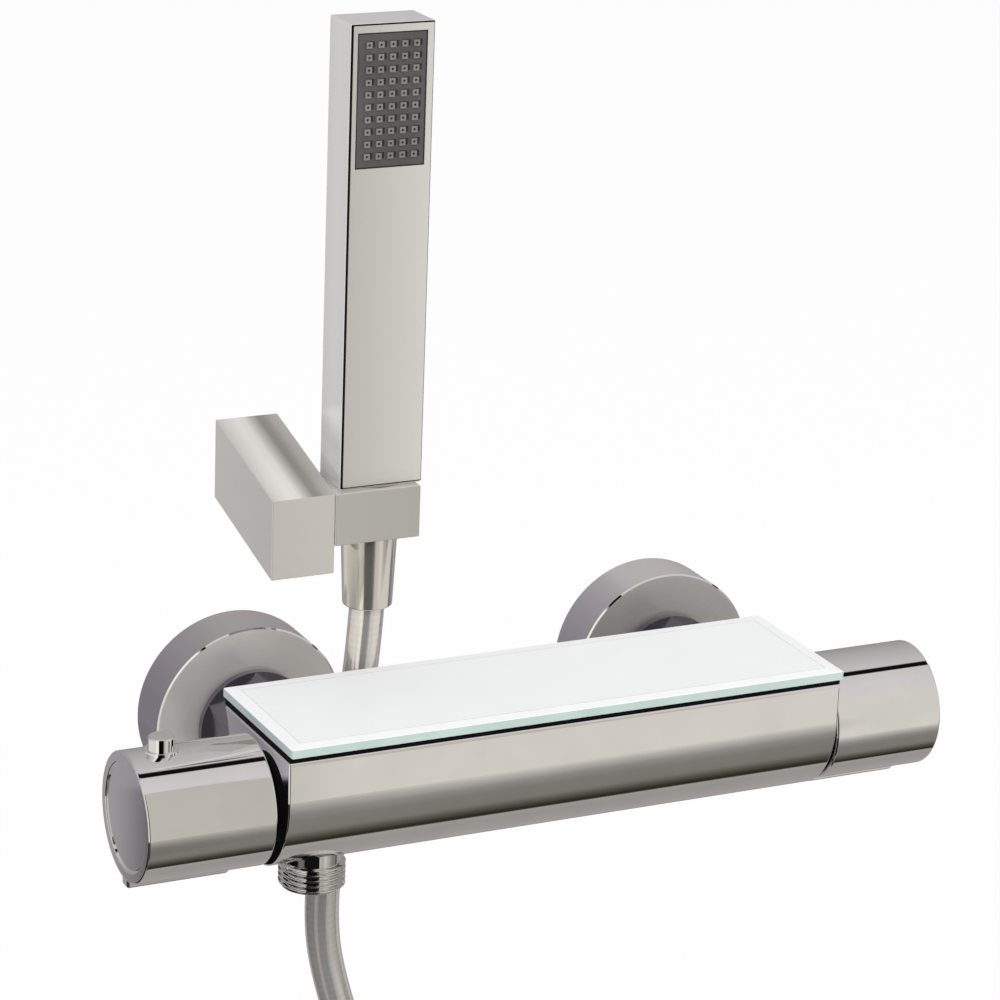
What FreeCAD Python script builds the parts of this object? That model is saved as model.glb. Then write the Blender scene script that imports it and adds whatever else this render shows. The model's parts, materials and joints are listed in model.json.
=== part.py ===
import FreeCAD, Part
import math
import os

# Wall-mounted shower set: a thermostatic mixer bar with a glass shelf, and a stick handset on its bracket.
# Millimetres. The wall is the plane y = 0 and the room is at -Y. The origin is midway between the wall inlets.

Vector = FreeCAD.Vector
RIGHT = Vector(1, 0, 0)
OUT = Vector(0, -1, 0)
UP = Vector(0, 0, 1)
DOWN = Vector(0, 0, -1)
FULL_TURN = 360

# Fits
FIT_GAP = 0.05
TURN_GAP = 0.3
CUT_OVERRUN = 1.0

# Mixer body
BODY_LENGTH = 191.0
BODY_RADIUS = 21.9
BODY_TOP = 19.3
BODY_SHOULDER = 6.5
BODY_BOTTOM = 22.1
BODY_BACK_REACH = 26.3
BODY_BACK_GAP = 6.4
LEDGE_NUT_GAP = 2.2
LEDGE_DROP = 7.9
INLET_END_MARGIN = 20.5
CHAMBER_RADIUS = 15.0
CHAMBER_DEPTH = 50.0
DUCT_RADIUS = 5.0

# Glass shelf and the pad under it
PAD_THICKNESS = 2.1
PAD_INSET = 0.2
GLASS_THICKNESS = 3.1
GLASS_DEPTH = 55.6
GLASS_LIP = 1.7
GLASS_BEVEL_WIDTH = 4.2
GLASS_BEVEL_DROP = 0.25

# Wall unions, their nuts and escutcheons
WALL_THREAD_RADIUS = 10.48
WALL_THREAD_LENGTH = 15.0
UNION_RADIUS = 13.2
UNION_SEAT_LENGTH = 4.5
UNION_ENGAGEMENT = 16.0
STUB_WALL = 2.2
FLANGE_THICKNESS = 2.5
FLANGE_MARGIN = 0.8
FLANGE_STEP = 2.2
WASHER_THICKNESS = 2.0
VALVE_LENGTH = 12.0
VALVE_BORE = 3.0
NUT_WALL = 2.8
NUT_GAP = 1.6
NUT_HEX_LENGTH = 20.5
NUT_COLLAR_LENGTH = 4.0
NUT_COLLAR_WALL = 2.2
NUT_CHAMFER = 2.0
NUT_FLANGE_LENGTH = 2.4
ESCUTCHEON_RADIUS = 31.9
ESCUTCHEON_DEPTH = 17.9
ESCUTCHEON_WALL = 1.4
ESCUTCHEON_BEVEL = 1.3

# Shower outlet under the body
OUTLET_END_MARGIN = 17.5
OUTLET_NECK_SHOWN = 2.4
OUTLET_THREAD_RADIUS = 10.48
OUTLET_THREAD_LENGTH = 6.9
OUTLET_NECK_RADIUS = 9.25
OUTLET_WALL = 2.25
OUTLET_SETBACK = 0.6
RING_GROOVE_WIDTH = 1.6
RING_GROOVE_DEPTH = 1.2

# Cartridges, spindles and the rings at the body's ends
CARTRIDGE_WAIST_RADIUS = 11.0
CARTRIDGE_LAND = 7.0
CLAMP_LENGTH = 6.5
NECK_RADIUS = 11.0
NECK_LENGTH = 5.8
NECK_BORE = 8.0
SPINDLE_RADIUS = 4.0
SPINDLE_ENGAGEMENT = 17.0
STOP_RING_THICKNESS = 2.5
STOP_RING_INSET = 3.4

# Knobs
KNOB_RADIUS = 20.4
KNOB_WALL = 2.0
KNOB_EDGE = 0.5
TEMPERATURE_KNOB_LENGTH = 41.3
FLOW_KNOB_LENGTH = 37.3
RIM_DEPTH = 5.6
KNOB_RIM = 3.8
CAP_GAP = 0.3
CAP_THICKNESS = 3.0
CAP_RECESS = 0.7
FIN_WIDTH = 5.0
FIN_PROUD = 2.0
FIN_SLANT = 2.5
TEMPERATURE_FIN_LENGTH = 35.0
FLOW_FIN_LENGTH = 33.5
HUB_START = 5.7
HUB_LENGTH = 17.0
HUB_RADIUS = 8.0
HUB_FLANGE_START = 4.0
HUB_FLANGE_THICKNESS = 5.0
KNOB_SCREW_RADIUS = 1.5
KNOB_SCREW_LENGTH = 12.0
KNOB_SCREW_HEAD_RADIUS = 3.2
KNOB_SCREW_HEAD = 2.0

# Safety button on the temperature knob
BUTTON_INSET = 11.4
BUTTON_RADIUS = 4.0
BUTTON_PROUD = 4.6
BUTTON_LENGTH = 8.4
BUTTON_CHAMFER = 0.5
BUTTON_RING_WIDTH = 1.3
BUTTON_RING_PROUD = 0.5
BUTTON_CUP_DEPTH = 10.4
BUTTON_CUP_WALL = 1.6
BUTTON_CUP_FLOOR = 1.4
SPRING_WIRE = 0.35
SPRING_RADIUS = 2.9
SPRING_TURNS = 4

# Wall bracket and handset holder
BLOCK_OVERHANG = 6.3
BLOCK_WIDTH = 21.1
BLOCK_FRONT_MARGIN = 11.0
BLOCK_RISE = 12.4
BLOCK_TOP = 84.7
BLOCK_HEIGHT = 26.0
BLOCK_WALL = 2.5
BLOCK_EDGE = 0.4
PLATE_THICKNESS = 6.0
WALL_SCREW_MARGIN = 8.0
WALL_SCREW_RADIUS = 2.0
WALL_SCREW_LENGTH = 15.0
WALL_SCREW_HEAD_RADIUS = 3.8
WALL_SCREW_HEAD = 2.4
GRUB_RADIUS = 2.0
GRUB_ENGAGEMENT = 1.8
GRUB_RECESS = 0.8
HOLDER_WIDTH = 28.7
HOLDER_HEIGHT = 16.9
HOLDER_WALL = 1.7
HOLDER_SCREW_RADIUS = 2.0
HOLDER_SEAT_WALL = 2.0
HOLDER_SCREW_HEAD_RADIUS = 3.5
HOLDER_SCREW_HEAD = 2.5

# Handset
HANDSET_SIDE_GAP = 2.65
HANDSET_THICKNESS = 16.0
HANDSET_HEIGHT = 146.0
HANDSET_WALL = 1.8
HANDSET_FLOOR = 3.0
HANDSET_EDGE = 0.5
SPRAY_BORDER = 3.7
SPRAY_SIDE_MARGIN = 2.35
SPRAY_TOP_MARGIN = 2.9
SPRAY_THICKNESS = 2.2
SPRAY_RECESS = 0.2
MAT_THICKNESS = 1.2
MAT_INSET = 0.6
NOZZLE_COLUMNS = 5
NOZZLE_ROWS = 10
NOZZLE_PITCH_X = 3.9
NOZZLE_PITCH_Z = 3.8
NOZZLE_SIZE = 1.9
NOZZLE_PROUD = 0.6
NOZZLE_BORE = 0.4
TRAY_WALL = 1.0
INLET_THREAD_RADIUS = 6.58
INLET_THREAD_LENGTH = 11.0
INLET_BORE_STEP = 0.8
INLET_TAIL_GAP = 0.4
INLET_TAIL_WALL = 1.4
INLET_TAIL_LENGTH = 7.0
FLOW_TUBE_WALL = 1.0
FLOW_TUBE_SOCKET = 4.0

# Hose and its fittings
HOSE_DIAMETER = 11.2
HOSE_LENGTH = 1500.0
HOSE_CLEARANCE = 2.1
TOP_NUT_LENGTH = 41.4
TOP_NUT_RADIUS_LOW = 7.9
TOP_NUT_RADIUS_HIGH = 9.5
TOP_NUT_EDGE = 0.6
HOSE_INSERTION = 1.0
FERRULE_FLANGE = 3.0
FERRULE_FLANGE_GAP = 0.28
COIL_RADIUS = 64.0
COIL_TURNS = 3
COIL_PITCH = 12.0
TIE_HEIGHT = 8.0
TIE_THICKNESS = 1.2
END_NUT_ACROSS_FLATS = 24.0
END_NUT_LENGTH = 15.0
END_NUT_SHOULDER = 3.0
END_NUT_THREAD_RADIUS = 10.5
END_NUT_CHAMFER = 0.9
END_FLANGE_GAP = 1.3
END_FLANGE = 2.4
END_SLEEVE = 4.6
END_WASHER_THICKNESS = 2.0

# Centre line of the hose, down past the mixer to the coil, measured from its upper end on the handset's axis
HOSE_ROUTE = [
    (-0.6, 0.6, -17.0),
    (-3.8, 1.6, -46.0),
    (-9.8, 3.2, -80.0),
    (-11.5, 5.5, -108.0),
    (-7.0, 7.6, -134.0),
    (11.7, 8.5, -188.0),
    (11.7, 8.5, -222.0),
]
ROUTE_ARC_SHARE = 0.45

# Places worked out from the sizes above
BODY_HALF = BODY_LENGTH / 2
INLET_X = BODY_HALF - INLET_END_MARGIN
NUT_BACK_OUT = ESCUTCHEON_DEPTH + NUT_GAP
STUB_FACE_OUT = NUT_BACK_OUT + UNION_ENGAGEMENT
AXIS_OUT = NUT_BACK_OUT + NUT_HEX_LENGTH + NUT_COLLAR_LENGTH + BODY_BACK_GAP + BODY_BACK_REACH
LEDGE_BACK = -AXIS_OUT + BODY_BACK_REACH + BODY_BACK_GAP - LEDGE_NUT_GAP
MIXER_CENTRE = Vector(0, -AXIS_OUT, 0)
GLASS_BOTTOM = BODY_TOP + PAD_THICKNESS
GLASS_FRONT = -AXIS_OUT - BODY_RADIUS - GLASS_LIP
GLASS_BACK = GLASS_FRONT + GLASS_DEPTH
CHAMBER_FLOOR = BODY_HALF - CHAMBER_DEPTH
CLAMP_START = BODY_HALF - CLAMP_LENGTH
KNOB_START = BODY_HALF + STOP_RING_THICKNESS + TURN_GAP
HUB_LOW = KNOB_START + HUB_START
HUB_HIGH = HUB_LOW + HUB_LENGTH
CAP_RADIUS = KNOB_RADIUS - KNOB_RIM
BUTTON_RING_RADIUS = BUTTON_RADIUS + BUTTON_RING_WIDTH
UNION_FACE_OUT = STUB_FACE_OUT - WASHER_THICKNESS
FLANGE_RADIUS = UNION_RADIUS - FLANGE_MARGIN
STUB_RADIUS = FLANGE_RADIUS - FLANGE_STEP
UNION_BORE = STUB_RADIUS - STUB_WALL
NUT_ACROSS_FLATS = 2 * (UNION_RADIUS + NUT_WALL)
NUT_COLLAR_RADIUS = UNION_RADIUS + NUT_COLLAR_WALL
OUTLET_X = -BODY_HALF + OUTLET_END_MARGIN
OUTLET_END = BODY_BOTTOM + OUTLET_NECK_SHOWN + OUTLET_THREAD_LENGTH
OUTLET_BORE = OUTLET_NECK_RADIUS - OUTLET_WALL
OUTLET_SEAT_RADIUS = OUTLET_NECK_RADIUS + FIT_GAP
BLOCK_LEFT = -INLET_X - BLOCK_OVERHANG
BLOCK_RIGHT = BLOCK_LEFT + BLOCK_WIDTH
BLOCK_BOTTOM = BLOCK_TOP - BLOCK_HEIGHT
HOSE_RADIUS = HOSE_DIAMETER / 2
SPRAY_WIDTH = (NOZZLE_COLUMNS - 1) * NOZZLE_PITCH_X + 2 * SPRAY_BORDER
SPRAY_HEIGHT = (NOZZLE_ROWS - 1) * NOZZLE_PITCH_Z + 2 * SPRAY_BORDER
HANDSET_WIDTH = SPRAY_WIDTH + 2 * SPRAY_SIDE_MARGIN
HANDSET_REACH = HANDSET_WIDTH / 2 + HANDSET_SIDE_GAP
HANDSET_X = BLOCK_RIGHT + HANDSET_REACH
HANDSET_OUT = -GLASS_BACK - HOSE_RADIUS - HOSE_CLEARANCE
HANDSET_AXIS = Vector(HANDSET_X, -HANDSET_OUT, 0)
BLOCK_DEPTH = HANDSET_OUT + BLOCK_FRONT_MARGIN
WALL_SCREW_SPACING = BLOCK_HEIGHT - 2 * WALL_SCREW_MARGIN
HOLDER_SCREW_ENGAGEMENT = HANDSET_REACH - TOP_NUT_RADIUS_HIGH - HOLDER_SEAT_WALL
HANDSET_BOTTOM = BLOCK_TOP + TURN_GAP
HANDSET_TOP = HANDSET_BOTTOM + HANDSET_HEIGHT
HANDSET_FRONT = -HANDSET_OUT - HANDSET_THICKNESS / 2
HANDSET_LEFT = HANDSET_X - HANDSET_WIDTH / 2
SPRAY_TOP = HANDSET_TOP - SPRAY_TOP_MARGIN
SPRAY_MIDDLE = SPRAY_TOP - SPRAY_HEIGHT / 2
SPRAY_FACE = HANDSET_FRONT + SPRAY_RECESS
MAT_FACE = SPRAY_FACE + SPRAY_THICKNESS
TRAY_FACE = MAT_FACE + MAT_THICKNESS
INLET_TAIL_RADIUS = HANDSET_THICKNESS / 2 - HANDSET_WALL - INLET_TAIL_GAP
FLOW_TUBE_RADIUS = INLET_TAIL_RADIUS - INLET_TAIL_WALL
INLET_BORE = FLOW_TUBE_RADIUS - INLET_BORE_STEP
INLET_LOW = HANDSET_BOTTOM - INLET_THREAD_LENGTH
INLET_HIGH = HANDSET_BOTTOM + HANDSET_FLOOR + INLET_TAIL_LENGTH
TOP_NUT_HIGH = HANDSET_BOTTOM - TURN_GAP
TOP_NUT_LOW = TOP_NUT_HIGH - TOP_NUT_LENGTH
FERRULE_FLANGE_RADIUS = INLET_THREAD_RADIUS - FERRULE_FLANGE_GAP
END_FLANGE_RADIUS = END_NUT_THREAD_RADIUS - END_FLANGE_GAP
FERRULE_HIGH = INLET_LOW - WASHER_THICKNESS
FERRULE_FLANGE_LOW = FERRULE_HIGH - FERRULE_FLANGE
FERRULE_LOW = TOP_NUT_LOW + HOSE_INSERTION
NUT_BORE = HOSE_RADIUS + TURN_GAP


def turned(outline, base, way):
    """Solid of revolution: an outline of (radius, height) points turned about the line from base along way."""
    side = RIGHT if way.z else UP
    points = [base + side * radius + way * height for radius, height in outline]
    face = Part.Face(Part.makePolygon(points + points[:1]))
    return face.revolve(base, way, FULL_TURN)


def rod(radius, low, high, base, way):
    """Plain round bar between two heights along way."""
    return Part.makeCylinder(radius, high - low, base + way * low, way)


def ring(outer, inner, low, high, base, way):
    """Bar with a bore."""
    return turned([(inner, low), (outer, low), (outer, high), (inner, high)], base, way)


def box(low, high):
    """Box between two opposite corners."""
    size = high - low
    return Part.makeBox(size.x, size.y, size.z, low)


def softened(shape, radius):
    """The same block with every edge rounded."""
    return shape.makeFillet(radius, shape.Edges)


def hexagon(across_flats, low, high, base, way):
    """Six-sided bar between two heights along way."""
    corner = across_flats / math.sqrt(3)
    side = RIGHT if way.z else UP
    other = way.cross(side)
    turns = [math.radians(FULL_TURN * step / 6) for step in range(6)]
    points = [base + way * low + side * (corner * math.cos(a)) + other * (corner * math.sin(a)) for a in turns]
    face = Part.Face(Part.makePolygon(points + points[:1]))
    return face.extrude(way * (high - low))


def hex_nut(across_flats, chamfer, low, high, base, way):
    """Six-sided bar with both ends' corners turned off."""
    corner = across_flats / math.sqrt(3)
    outline = [(0, low), (corner - chamfer, low), (corner, low + chamfer)]
    outline += [(corner, high - chamfer), (corner - chamfer, high), (0, high)]
    return hexagon(across_flats, low, high, base, way).common(turned(outline, base, way))


def screw(radius, length, head_radius, head_length, seat, way):
    """Round-headed screw with its head's underside at seat and its shank along way."""
    head = rod(head_radius, -head_length, 0, seat, way)
    return head.fuse(rod(radius, 0, length, seat, way)).removeSplitter()


# Mixer body, shelf and outlet

def inlet_base(side):
    """Centre of a wall inlet; side is -1 for the left one and 1 for the right one."""
    return Vector(side * INLET_X, 0, 0)


def body_profile():
    """U-shaped face: flat top with a sloping ledge behind, straight front and back, half-oval underside."""
    left = -BODY_HALF
    front = -AXIS_OUT - BODY_RADIUS
    back = -AXIS_OUT + BODY_BACK_REACH
    top_front = Vector(left, front, BODY_TOP)
    low_front = Vector(left, front, BODY_SHOULDER)
    middle = Vector(left, (front + back) / 2, BODY_SHOULDER)
    bottom = Vector(left, (front + back) / 2, -BODY_BOTTOM)
    low_back = Vector(left, back, BODY_SHOULDER)
    ledge_root = Vector(left, back, BODY_TOP - LEDGE_DROP)
    top_back = Vector(left, LEDGE_BACK, BODY_TOP)
    oval = Part.Ellipse(bottom, low_back, middle)
    edges = [
        Part.LineSegment(top_front, low_front).toShape(),
        Part.ArcOfEllipse(oval, -math.pi / 2, math.pi / 2).toShape(),
        Part.LineSegment(low_back, ledge_root).toShape(),
        Part.LineSegment(ledge_root, top_back).toShape(),
        Part.LineSegment(top_back, top_front).toShape(),
    ]
    return Part.Face(Part.Wire(edges))


def mixer_body():
    """Cast body: cartridge chambers at both ends, two flanged inlet stubs behind and the outlet hole below."""
    body = body_profile().extrude(RIGHT * BODY_LENGTH)
    flange_back = STUB_FACE_OUT + FLANGE_THICKNESS
    for side in (-1, 1):
        base = inlet_base(side)
        stub = [(0, STUB_FACE_OUT), (FLANGE_RADIUS, STUB_FACE_OUT), (FLANGE_RADIUS, flange_back)]
        stub += [(STUB_RADIUS, flange_back), (STUB_RADIUS, AXIS_OUT), (0, AXIS_OUT)]
        body = body.fuse(turned(stub, base, OUT))
    for side in (-1, 1):
        way = RIGHT * side
        body = body.cut(rod(CHAMBER_RADIUS, CHAMBER_FLOOR, BODY_HALF + CUT_OVERRUN, MIXER_CENTRE, way))
        body = body.cut(rod(UNION_BORE, STUB_FACE_OUT - CUT_OVERRUN, AXIS_OUT, inlet_base(side), OUT))
    body = body.cut(rod(DUCT_RADIUS, -BODY_HALF, BODY_HALF, MIXER_CENTRE, RIGHT))
    outlet = rod(OUTLET_SEAT_RADIUS, 0, BODY_BOTTOM + CUT_OVERRUN, outlet_base(), DOWN)
    return body.cut(outlet).removeSplitter()


def shelf_pad():
    """Black bedding pad between the body's flat top and the glass."""
    low = Vector(-BODY_HALF + PAD_INSET, -AXIS_OUT - BODY_RADIUS + PAD_INSET, BODY_TOP)
    high = Vector(BODY_HALF - PAD_INSET, LEDGE_BACK - PAD_INSET, GLASS_BOTTOM)
    return box(low, high)


def rectangle(left, right, front, back, height):
    """Closed rectangular wire at one height."""
    corners = [(left, front), (right, front), (right, back), (left, back), (left, front)]
    return Part.makePolygon([Vector(x, y, height) for x, y in corners])


def glass_shelf():
    """Glass plate with a wide shallow bevel round its top."""
    bevel_low = GLASS_BOTTOM + GLASS_THICKNESS - GLASS_BEVEL_DROP
    plate = box(Vector(-BODY_HALF, GLASS_FRONT, GLASS_BOTTOM), Vector(BODY_HALF, GLASS_BACK, bevel_low))
    rim = rectangle(-BODY_HALF, BODY_HALF, GLASS_FRONT, GLASS_BACK, bevel_low)
    inner_half = BODY_HALF - GLASS_BEVEL_WIDTH
    inner_front = GLASS_FRONT + GLASS_BEVEL_WIDTH
    inner_back = GLASS_BACK - GLASS_BEVEL_WIDTH
    top = rectangle(-inner_half, inner_half, inner_front, inner_back, GLASS_BOTTOM + GLASS_THICKNESS)
    return plate.fuse(Part.makeLoft([rim, top], True, True)).removeSplitter()


def outlet_base():
    """Point on the mixer's axis above the shower outlet."""
    return Vector(OUTLET_X, -AXIS_OUT, 0)


def outlet_places():
    """Heights below the axis of the nipple's top, its ring groove and its thread."""
    top = CHAMBER_RADIUS + OUTLET_SETBACK
    groove = top + RING_GROOVE_WIDTH
    return top, groove, groove + RING_GROOVE_WIDTH, OUTLET_END - OUTLET_THREAD_LENGTH


def outlet_nipple():
    """Outlet stub with a groove for its sealing ring and a half-inch thread, kept plain at its outer size."""
    top, groove_low, groove_high, thread = outlet_places()
    groove_radius = OUTLET_NECK_RADIUS - RING_GROOVE_DEPTH
    outline = [(OUTLET_BORE, top), (OUTLET_NECK_RADIUS, top), (OUTLET_NECK_RADIUS, groove_low)]
    outline += [(groove_radius, groove_low), (groove_radius, groove_high), (OUTLET_NECK_RADIUS, groove_high)]
    outline += [(OUTLET_NECK_RADIUS, thread), (OUTLET_THREAD_RADIUS, thread)]
    outline += [(OUTLET_THREAD_RADIUS, OUTLET_END), (OUTLET_BORE, OUTLET_END)]
    return turned(outline, outlet_base(), DOWN)


def outlet_seal():
    """Sealing ring in the nipple's groove."""
    groove_low, groove_high = outlet_places()[1:3]
    inner = OUTLET_NECK_RADIUS - RING_GROOVE_DEPTH + FIT_GAP
    return ring(OUTLET_NECK_RADIUS, inner, groove_low + FIT_GAP, groove_high - FIT_GAP, outlet_base(), DOWN)


# Wall inlets

def union(side):
    """Wall union: half-inch tail into the wall, larger thread and escutcheon seat towards the room."""
    step = ESCUTCHEON_DEPTH - ESCUTCHEON_WALL - UNION_SEAT_LENGTH
    outline = [(UNION_BORE, -WALL_THREAD_LENGTH), (WALL_THREAD_RADIUS, -WALL_THREAD_LENGTH)]
    outline += [(WALL_THREAD_RADIUS, step), (UNION_RADIUS, step)]
    outline += [(UNION_RADIUS, UNION_FACE_OUT), (UNION_BORE, UNION_FACE_OUT)]
    return turned(outline, inlet_base(side), OUT)


def union_washer(side):
    """Flat washer between the union's face and the body's stub."""
    return ring(FLANGE_RADIUS, UNION_BORE, UNION_FACE_OUT, STUB_FACE_OUT, inlet_base(side), OUT)


def union_nut(side):
    """Hexagon nut with a round flange behind and a round collar before, which pulls the stub's flange onto the union."""
    base = inlet_base(side)
    hex_end = NUT_BACK_OUT + NUT_HEX_LENGTH
    collar_end = hex_end + NUT_COLLAR_LENGTH
    shoulder = STUB_FACE_OUT + FLANGE_THICKNESS + FIT_GAP
    nut = hex_nut(NUT_ACROSS_FLATS, NUT_CHAMFER, NUT_BACK_OUT, hex_end, base, OUT)
    nut = nut.fuse(rod(NUT_ACROSS_FLATS / math.sqrt(3), NUT_BACK_OUT, NUT_BACK_OUT + NUT_FLANGE_LENGTH, base, OUT))
    nut = nut.fuse(rod(NUT_COLLAR_RADIUS, hex_end, collar_end, base, OUT))
    nut = nut.cut(rod(UNION_RADIUS + FIT_GAP, NUT_BACK_OUT - CUT_OVERRUN, shoulder, base, OUT))
    return nut.cut(rod(STUB_RADIUS + FIT_GAP, shoulder, collar_end + CUT_OVERRUN, base, OUT)).removeSplitter()


def check_valve(side):
    """Non-return valve pressed into the body's inlet stub."""
    low = STUB_FACE_OUT + FLANGE_THICKNESS
    return ring(UNION_BORE - FIT_GAP, VALVE_BORE, low, low + VALVE_LENGTH, inlet_base(side), OUT)


def escutcheon(side):
    """Drawn cover cup: its rim meets the wall and its face sits on the union."""
    seat = UNION_RADIUS + FIT_GAP
    inner = ESCUTCHEON_RADIUS - ESCUTCHEON_WALL
    face_back = ESCUTCHEON_DEPTH - ESCUTCHEON_WALL
    bevel_radius = ESCUTCHEON_RADIUS - ESCUTCHEON_BEVEL
    outline = [(seat, face_back), (inner, face_back), (inner, 0), (ESCUTCHEON_RADIUS, 0)]
    outline += [(ESCUTCHEON_RADIUS, ESCUTCHEON_DEPTH - ESCUTCHEON_BEVEL), (bevel_radius, ESCUTCHEON_DEPTH)]
    outline += [(seat, ESCUTCHEON_DEPTH)]
    return turned(outline, inlet_base(side), OUT)


# Cartridges and knobs; heights run along the mixer's axis from its middle

def cartridge(side):
    """Cartridge with a waist where the inlet water enters and a blind hole for its spindle."""
    radius = CHAMBER_RADIUS - FIT_GAP
    low, high = CHAMBER_FLOOR, CLAMP_START
    hole = CLAMP_START - SPINDLE_ENGAGEMENT - CUT_OVERRUN
    outline = [(0, low), (radius, low), (radius, low + CARTRIDGE_LAND)]
    outline += [(CARTRIDGE_WAIST_RADIUS, low + CARTRIDGE_LAND), (CARTRIDGE_WAIST_RADIUS, high - CARTRIDGE_LAND)]
    outline += [(radius, high - CARTRIDGE_LAND), (radius, high)]
    outline += [(SPINDLE_RADIUS + FIT_GAP, high), (SPINDLE_RADIUS + FIT_GAP, hole), (0, hole)]
    return turned(outline, MIXER_CENTRE, RIGHT * side)


def cartridge_nut(side):
    """Ring nut that clamps the cartridge; its neck carries the stop ring."""
    radius = CHAMBER_RADIUS - FIT_GAP
    neck_end = BODY_HALF + NECK_LENGTH
    outline = [(NECK_BORE, CLAMP_START), (radius, CLAMP_START), (radius, BODY_HALF)]
    outline += [(NECK_RADIUS, BODY_HALF), (NECK_RADIUS, neck_end), (NECK_BORE, neck_end)]
    return turned(outline, MIXER_CENTRE, RIGHT * side)


def stop_ring(side):
    """Collar between the body's end and the knob."""
    outer = KNOB_RADIUS - STOP_RING_INSET
    high = BODY_HALF + STOP_RING_THICKNESS
    return ring(outer, NECK_RADIUS + FIT_GAP, BODY_HALF, high, MIXER_CENTRE, RIGHT * side)


def spindle(side):
    """Spindle from the cartridge to the knob's hub, drilled for the knob's screw."""
    low = CLAMP_START - SPINDLE_ENGAGEMENT
    high = HUB_HIGH - KNOB_SCREW_HEAD
    hole = KNOB_SCREW_RADIUS + FIT_GAP
    bottom = high - KNOB_SCREW_LENGTH - CUT_OVERRUN
    outline = [(0, low), (SPINDLE_RADIUS, low), (SPINDLE_RADIUS, high), (hole, high), (hole, bottom), (0, bottom)]
    return turned(outline, MIXER_CENTRE, RIGHT * side)


def knob_hub(side):
    """Moulded hub that joins the spindle to the knob's shell."""
    bore = SPINDLE_RADIUS + FIT_GAP
    flange_low = HUB_LOW + HUB_FLANGE_START
    flange_high = flange_low + HUB_FLANGE_THICKNESS
    flange = KNOB_RADIUS - KNOB_WALL - FIT_GAP
    outline = [(bore, HUB_LOW), (HUB_RADIUS, HUB_LOW), (HUB_RADIUS, flange_low), (flange, flange_low)]
    outline += [(flange, flange_high), (HUB_RADIUS, flange_high), (HUB_RADIUS, HUB_HIGH), (bore, HUB_HIGH)]
    return turned(outline, MIXER_CENTRE, RIGHT * side)


def knob_screw(side):
    """Screw along the axis that holds the hub on the spindle."""
    seat = MIXER_CENTRE + RIGHT * (side * (HUB_HIGH - KNOB_SCREW_HEAD))
    return screw(KNOB_SCREW_RADIUS, KNOB_SCREW_LENGTH, KNOB_SCREW_HEAD_RADIUS, KNOB_SCREW_HEAD, seat, RIGHT * -side)


def knob_shell(side, length):
    """Hollow knob with a turned-in rim at its outer end."""
    inner = KNOB_RADIUS - KNOB_WALL
    end = KNOB_START + length
    rim = CAP_RADIUS + CAP_GAP
    outline = [(inner, KNOB_START), (KNOB_RADIUS - KNOB_EDGE, KNOB_START), (KNOB_RADIUS, KNOB_START + KNOB_EDGE)]
    outline += [(KNOB_RADIUS, end - KNOB_EDGE), (KNOB_RADIUS - KNOB_EDGE, end), (rim, end)]
    outline += [(rim, end - CAP_RECESS - CAP_THICKNESS), (CAP_RADIUS - CAP_GAP, end - CAP_RECESS - CAP_THICKNESS)]
    outline += [(CAP_RADIUS - CAP_GAP, end - RIM_DEPTH), (inner, end - RIM_DEPTH)]
    return turned(outline, MIXER_CENTRE, RIGHT * side)


def knob_fin(side, start, length, slant_start, slant_end):
    """Low grip fin along the underside of a knob, with slanted ends where asked."""
    tip = -KNOB_RADIUS - FIN_PROUD
    root = -KNOB_RADIUS + KNOB_WALL / 2
    corners = [(start, root), (start + length, root), (start + length - slant_end, tip), (start + slant_start, tip)]
    front = -AXIS_OUT - FIN_WIDTH / 2
    points = [Vector(side * height, front, z) for height, z in corners]
    return Part.Face(Part.makePolygon(points + points[:1])).extrude(OUT * -FIN_WIDTH)


def end_cap(side, length):
    """Plain disc in the knob's outer end."""
    high = KNOB_START + length - CAP_RECESS
    return rod(CAP_RADIUS, high - CAP_THICKNESS, high, MIXER_CENTRE, RIGHT * side)


def flow_knob():
    """Flow knob with its fin from the inner end."""
    fin = knob_fin(1, KNOB_START, FLOW_FIN_LENGTH, 0, FIN_SLANT)
    return knob_shell(1, FLOW_KNOB_LENGTH).fuse(fin).removeSplitter()


def button_base():
    """Point on the knob's axis under the safety button."""
    return MIXER_CENTRE - RIGHT * (KNOB_START + TEMPERATURE_KNOB_LENGTH - BUTTON_INSET)


def temperature_knob():
    """Temperature knob with its fin from the outer end and the cup that guides the safety button."""
    end = KNOB_START + TEMPERATURE_KNOB_LENGTH
    fin = knob_fin(-1, end - TEMPERATURE_FIN_LENGTH, TEMPERATURE_FIN_LENGTH, FIN_SLANT, 0)
    cup_low = KNOB_RADIUS - BUTTON_CUP_DEPTH - BUTTON_CUP_FLOOR
    cup_outer = BUTTON_RADIUS + BUTTON_CUP_WALL
    cup = rod(cup_outer, cup_low, KNOB_RADIUS - KNOB_WALL / 2, button_base(), UP)
    raised = rod(BUTTON_RING_RADIUS, KNOB_RADIUS - KNOB_WALL, KNOB_RADIUS + BUTTON_RING_PROUD, button_base(), UP)
    knob = knob_shell(-1, TEMPERATURE_KNOB_LENGTH).fuse([fin, cup, raised])
    hole_low = KNOB_RADIUS - BUTTON_CUP_DEPTH
    hole_high = KNOB_RADIUS + BUTTON_PROUD
    return knob.cut(rod(BUTTON_RADIUS + FIT_GAP, hole_low, hole_high, button_base(), UP)).removeSplitter()


def safety_button():
    """Round press button that frees the temperature knob past its stop."""
    high = KNOB_RADIUS + BUTTON_PROUD
    low = high - BUTTON_LENGTH
    outline = [(0, low), (BUTTON_RADIUS, low), (BUTTON_RADIUS, high - BUTTON_CHAMFER)]
    outline += [(BUTTON_RADIUS - BUTTON_CHAMFER, high), (0, high)]
    return turned(outline, button_base(), UP)


# Wound forms: each quarter turn is two tangent arcs

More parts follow.
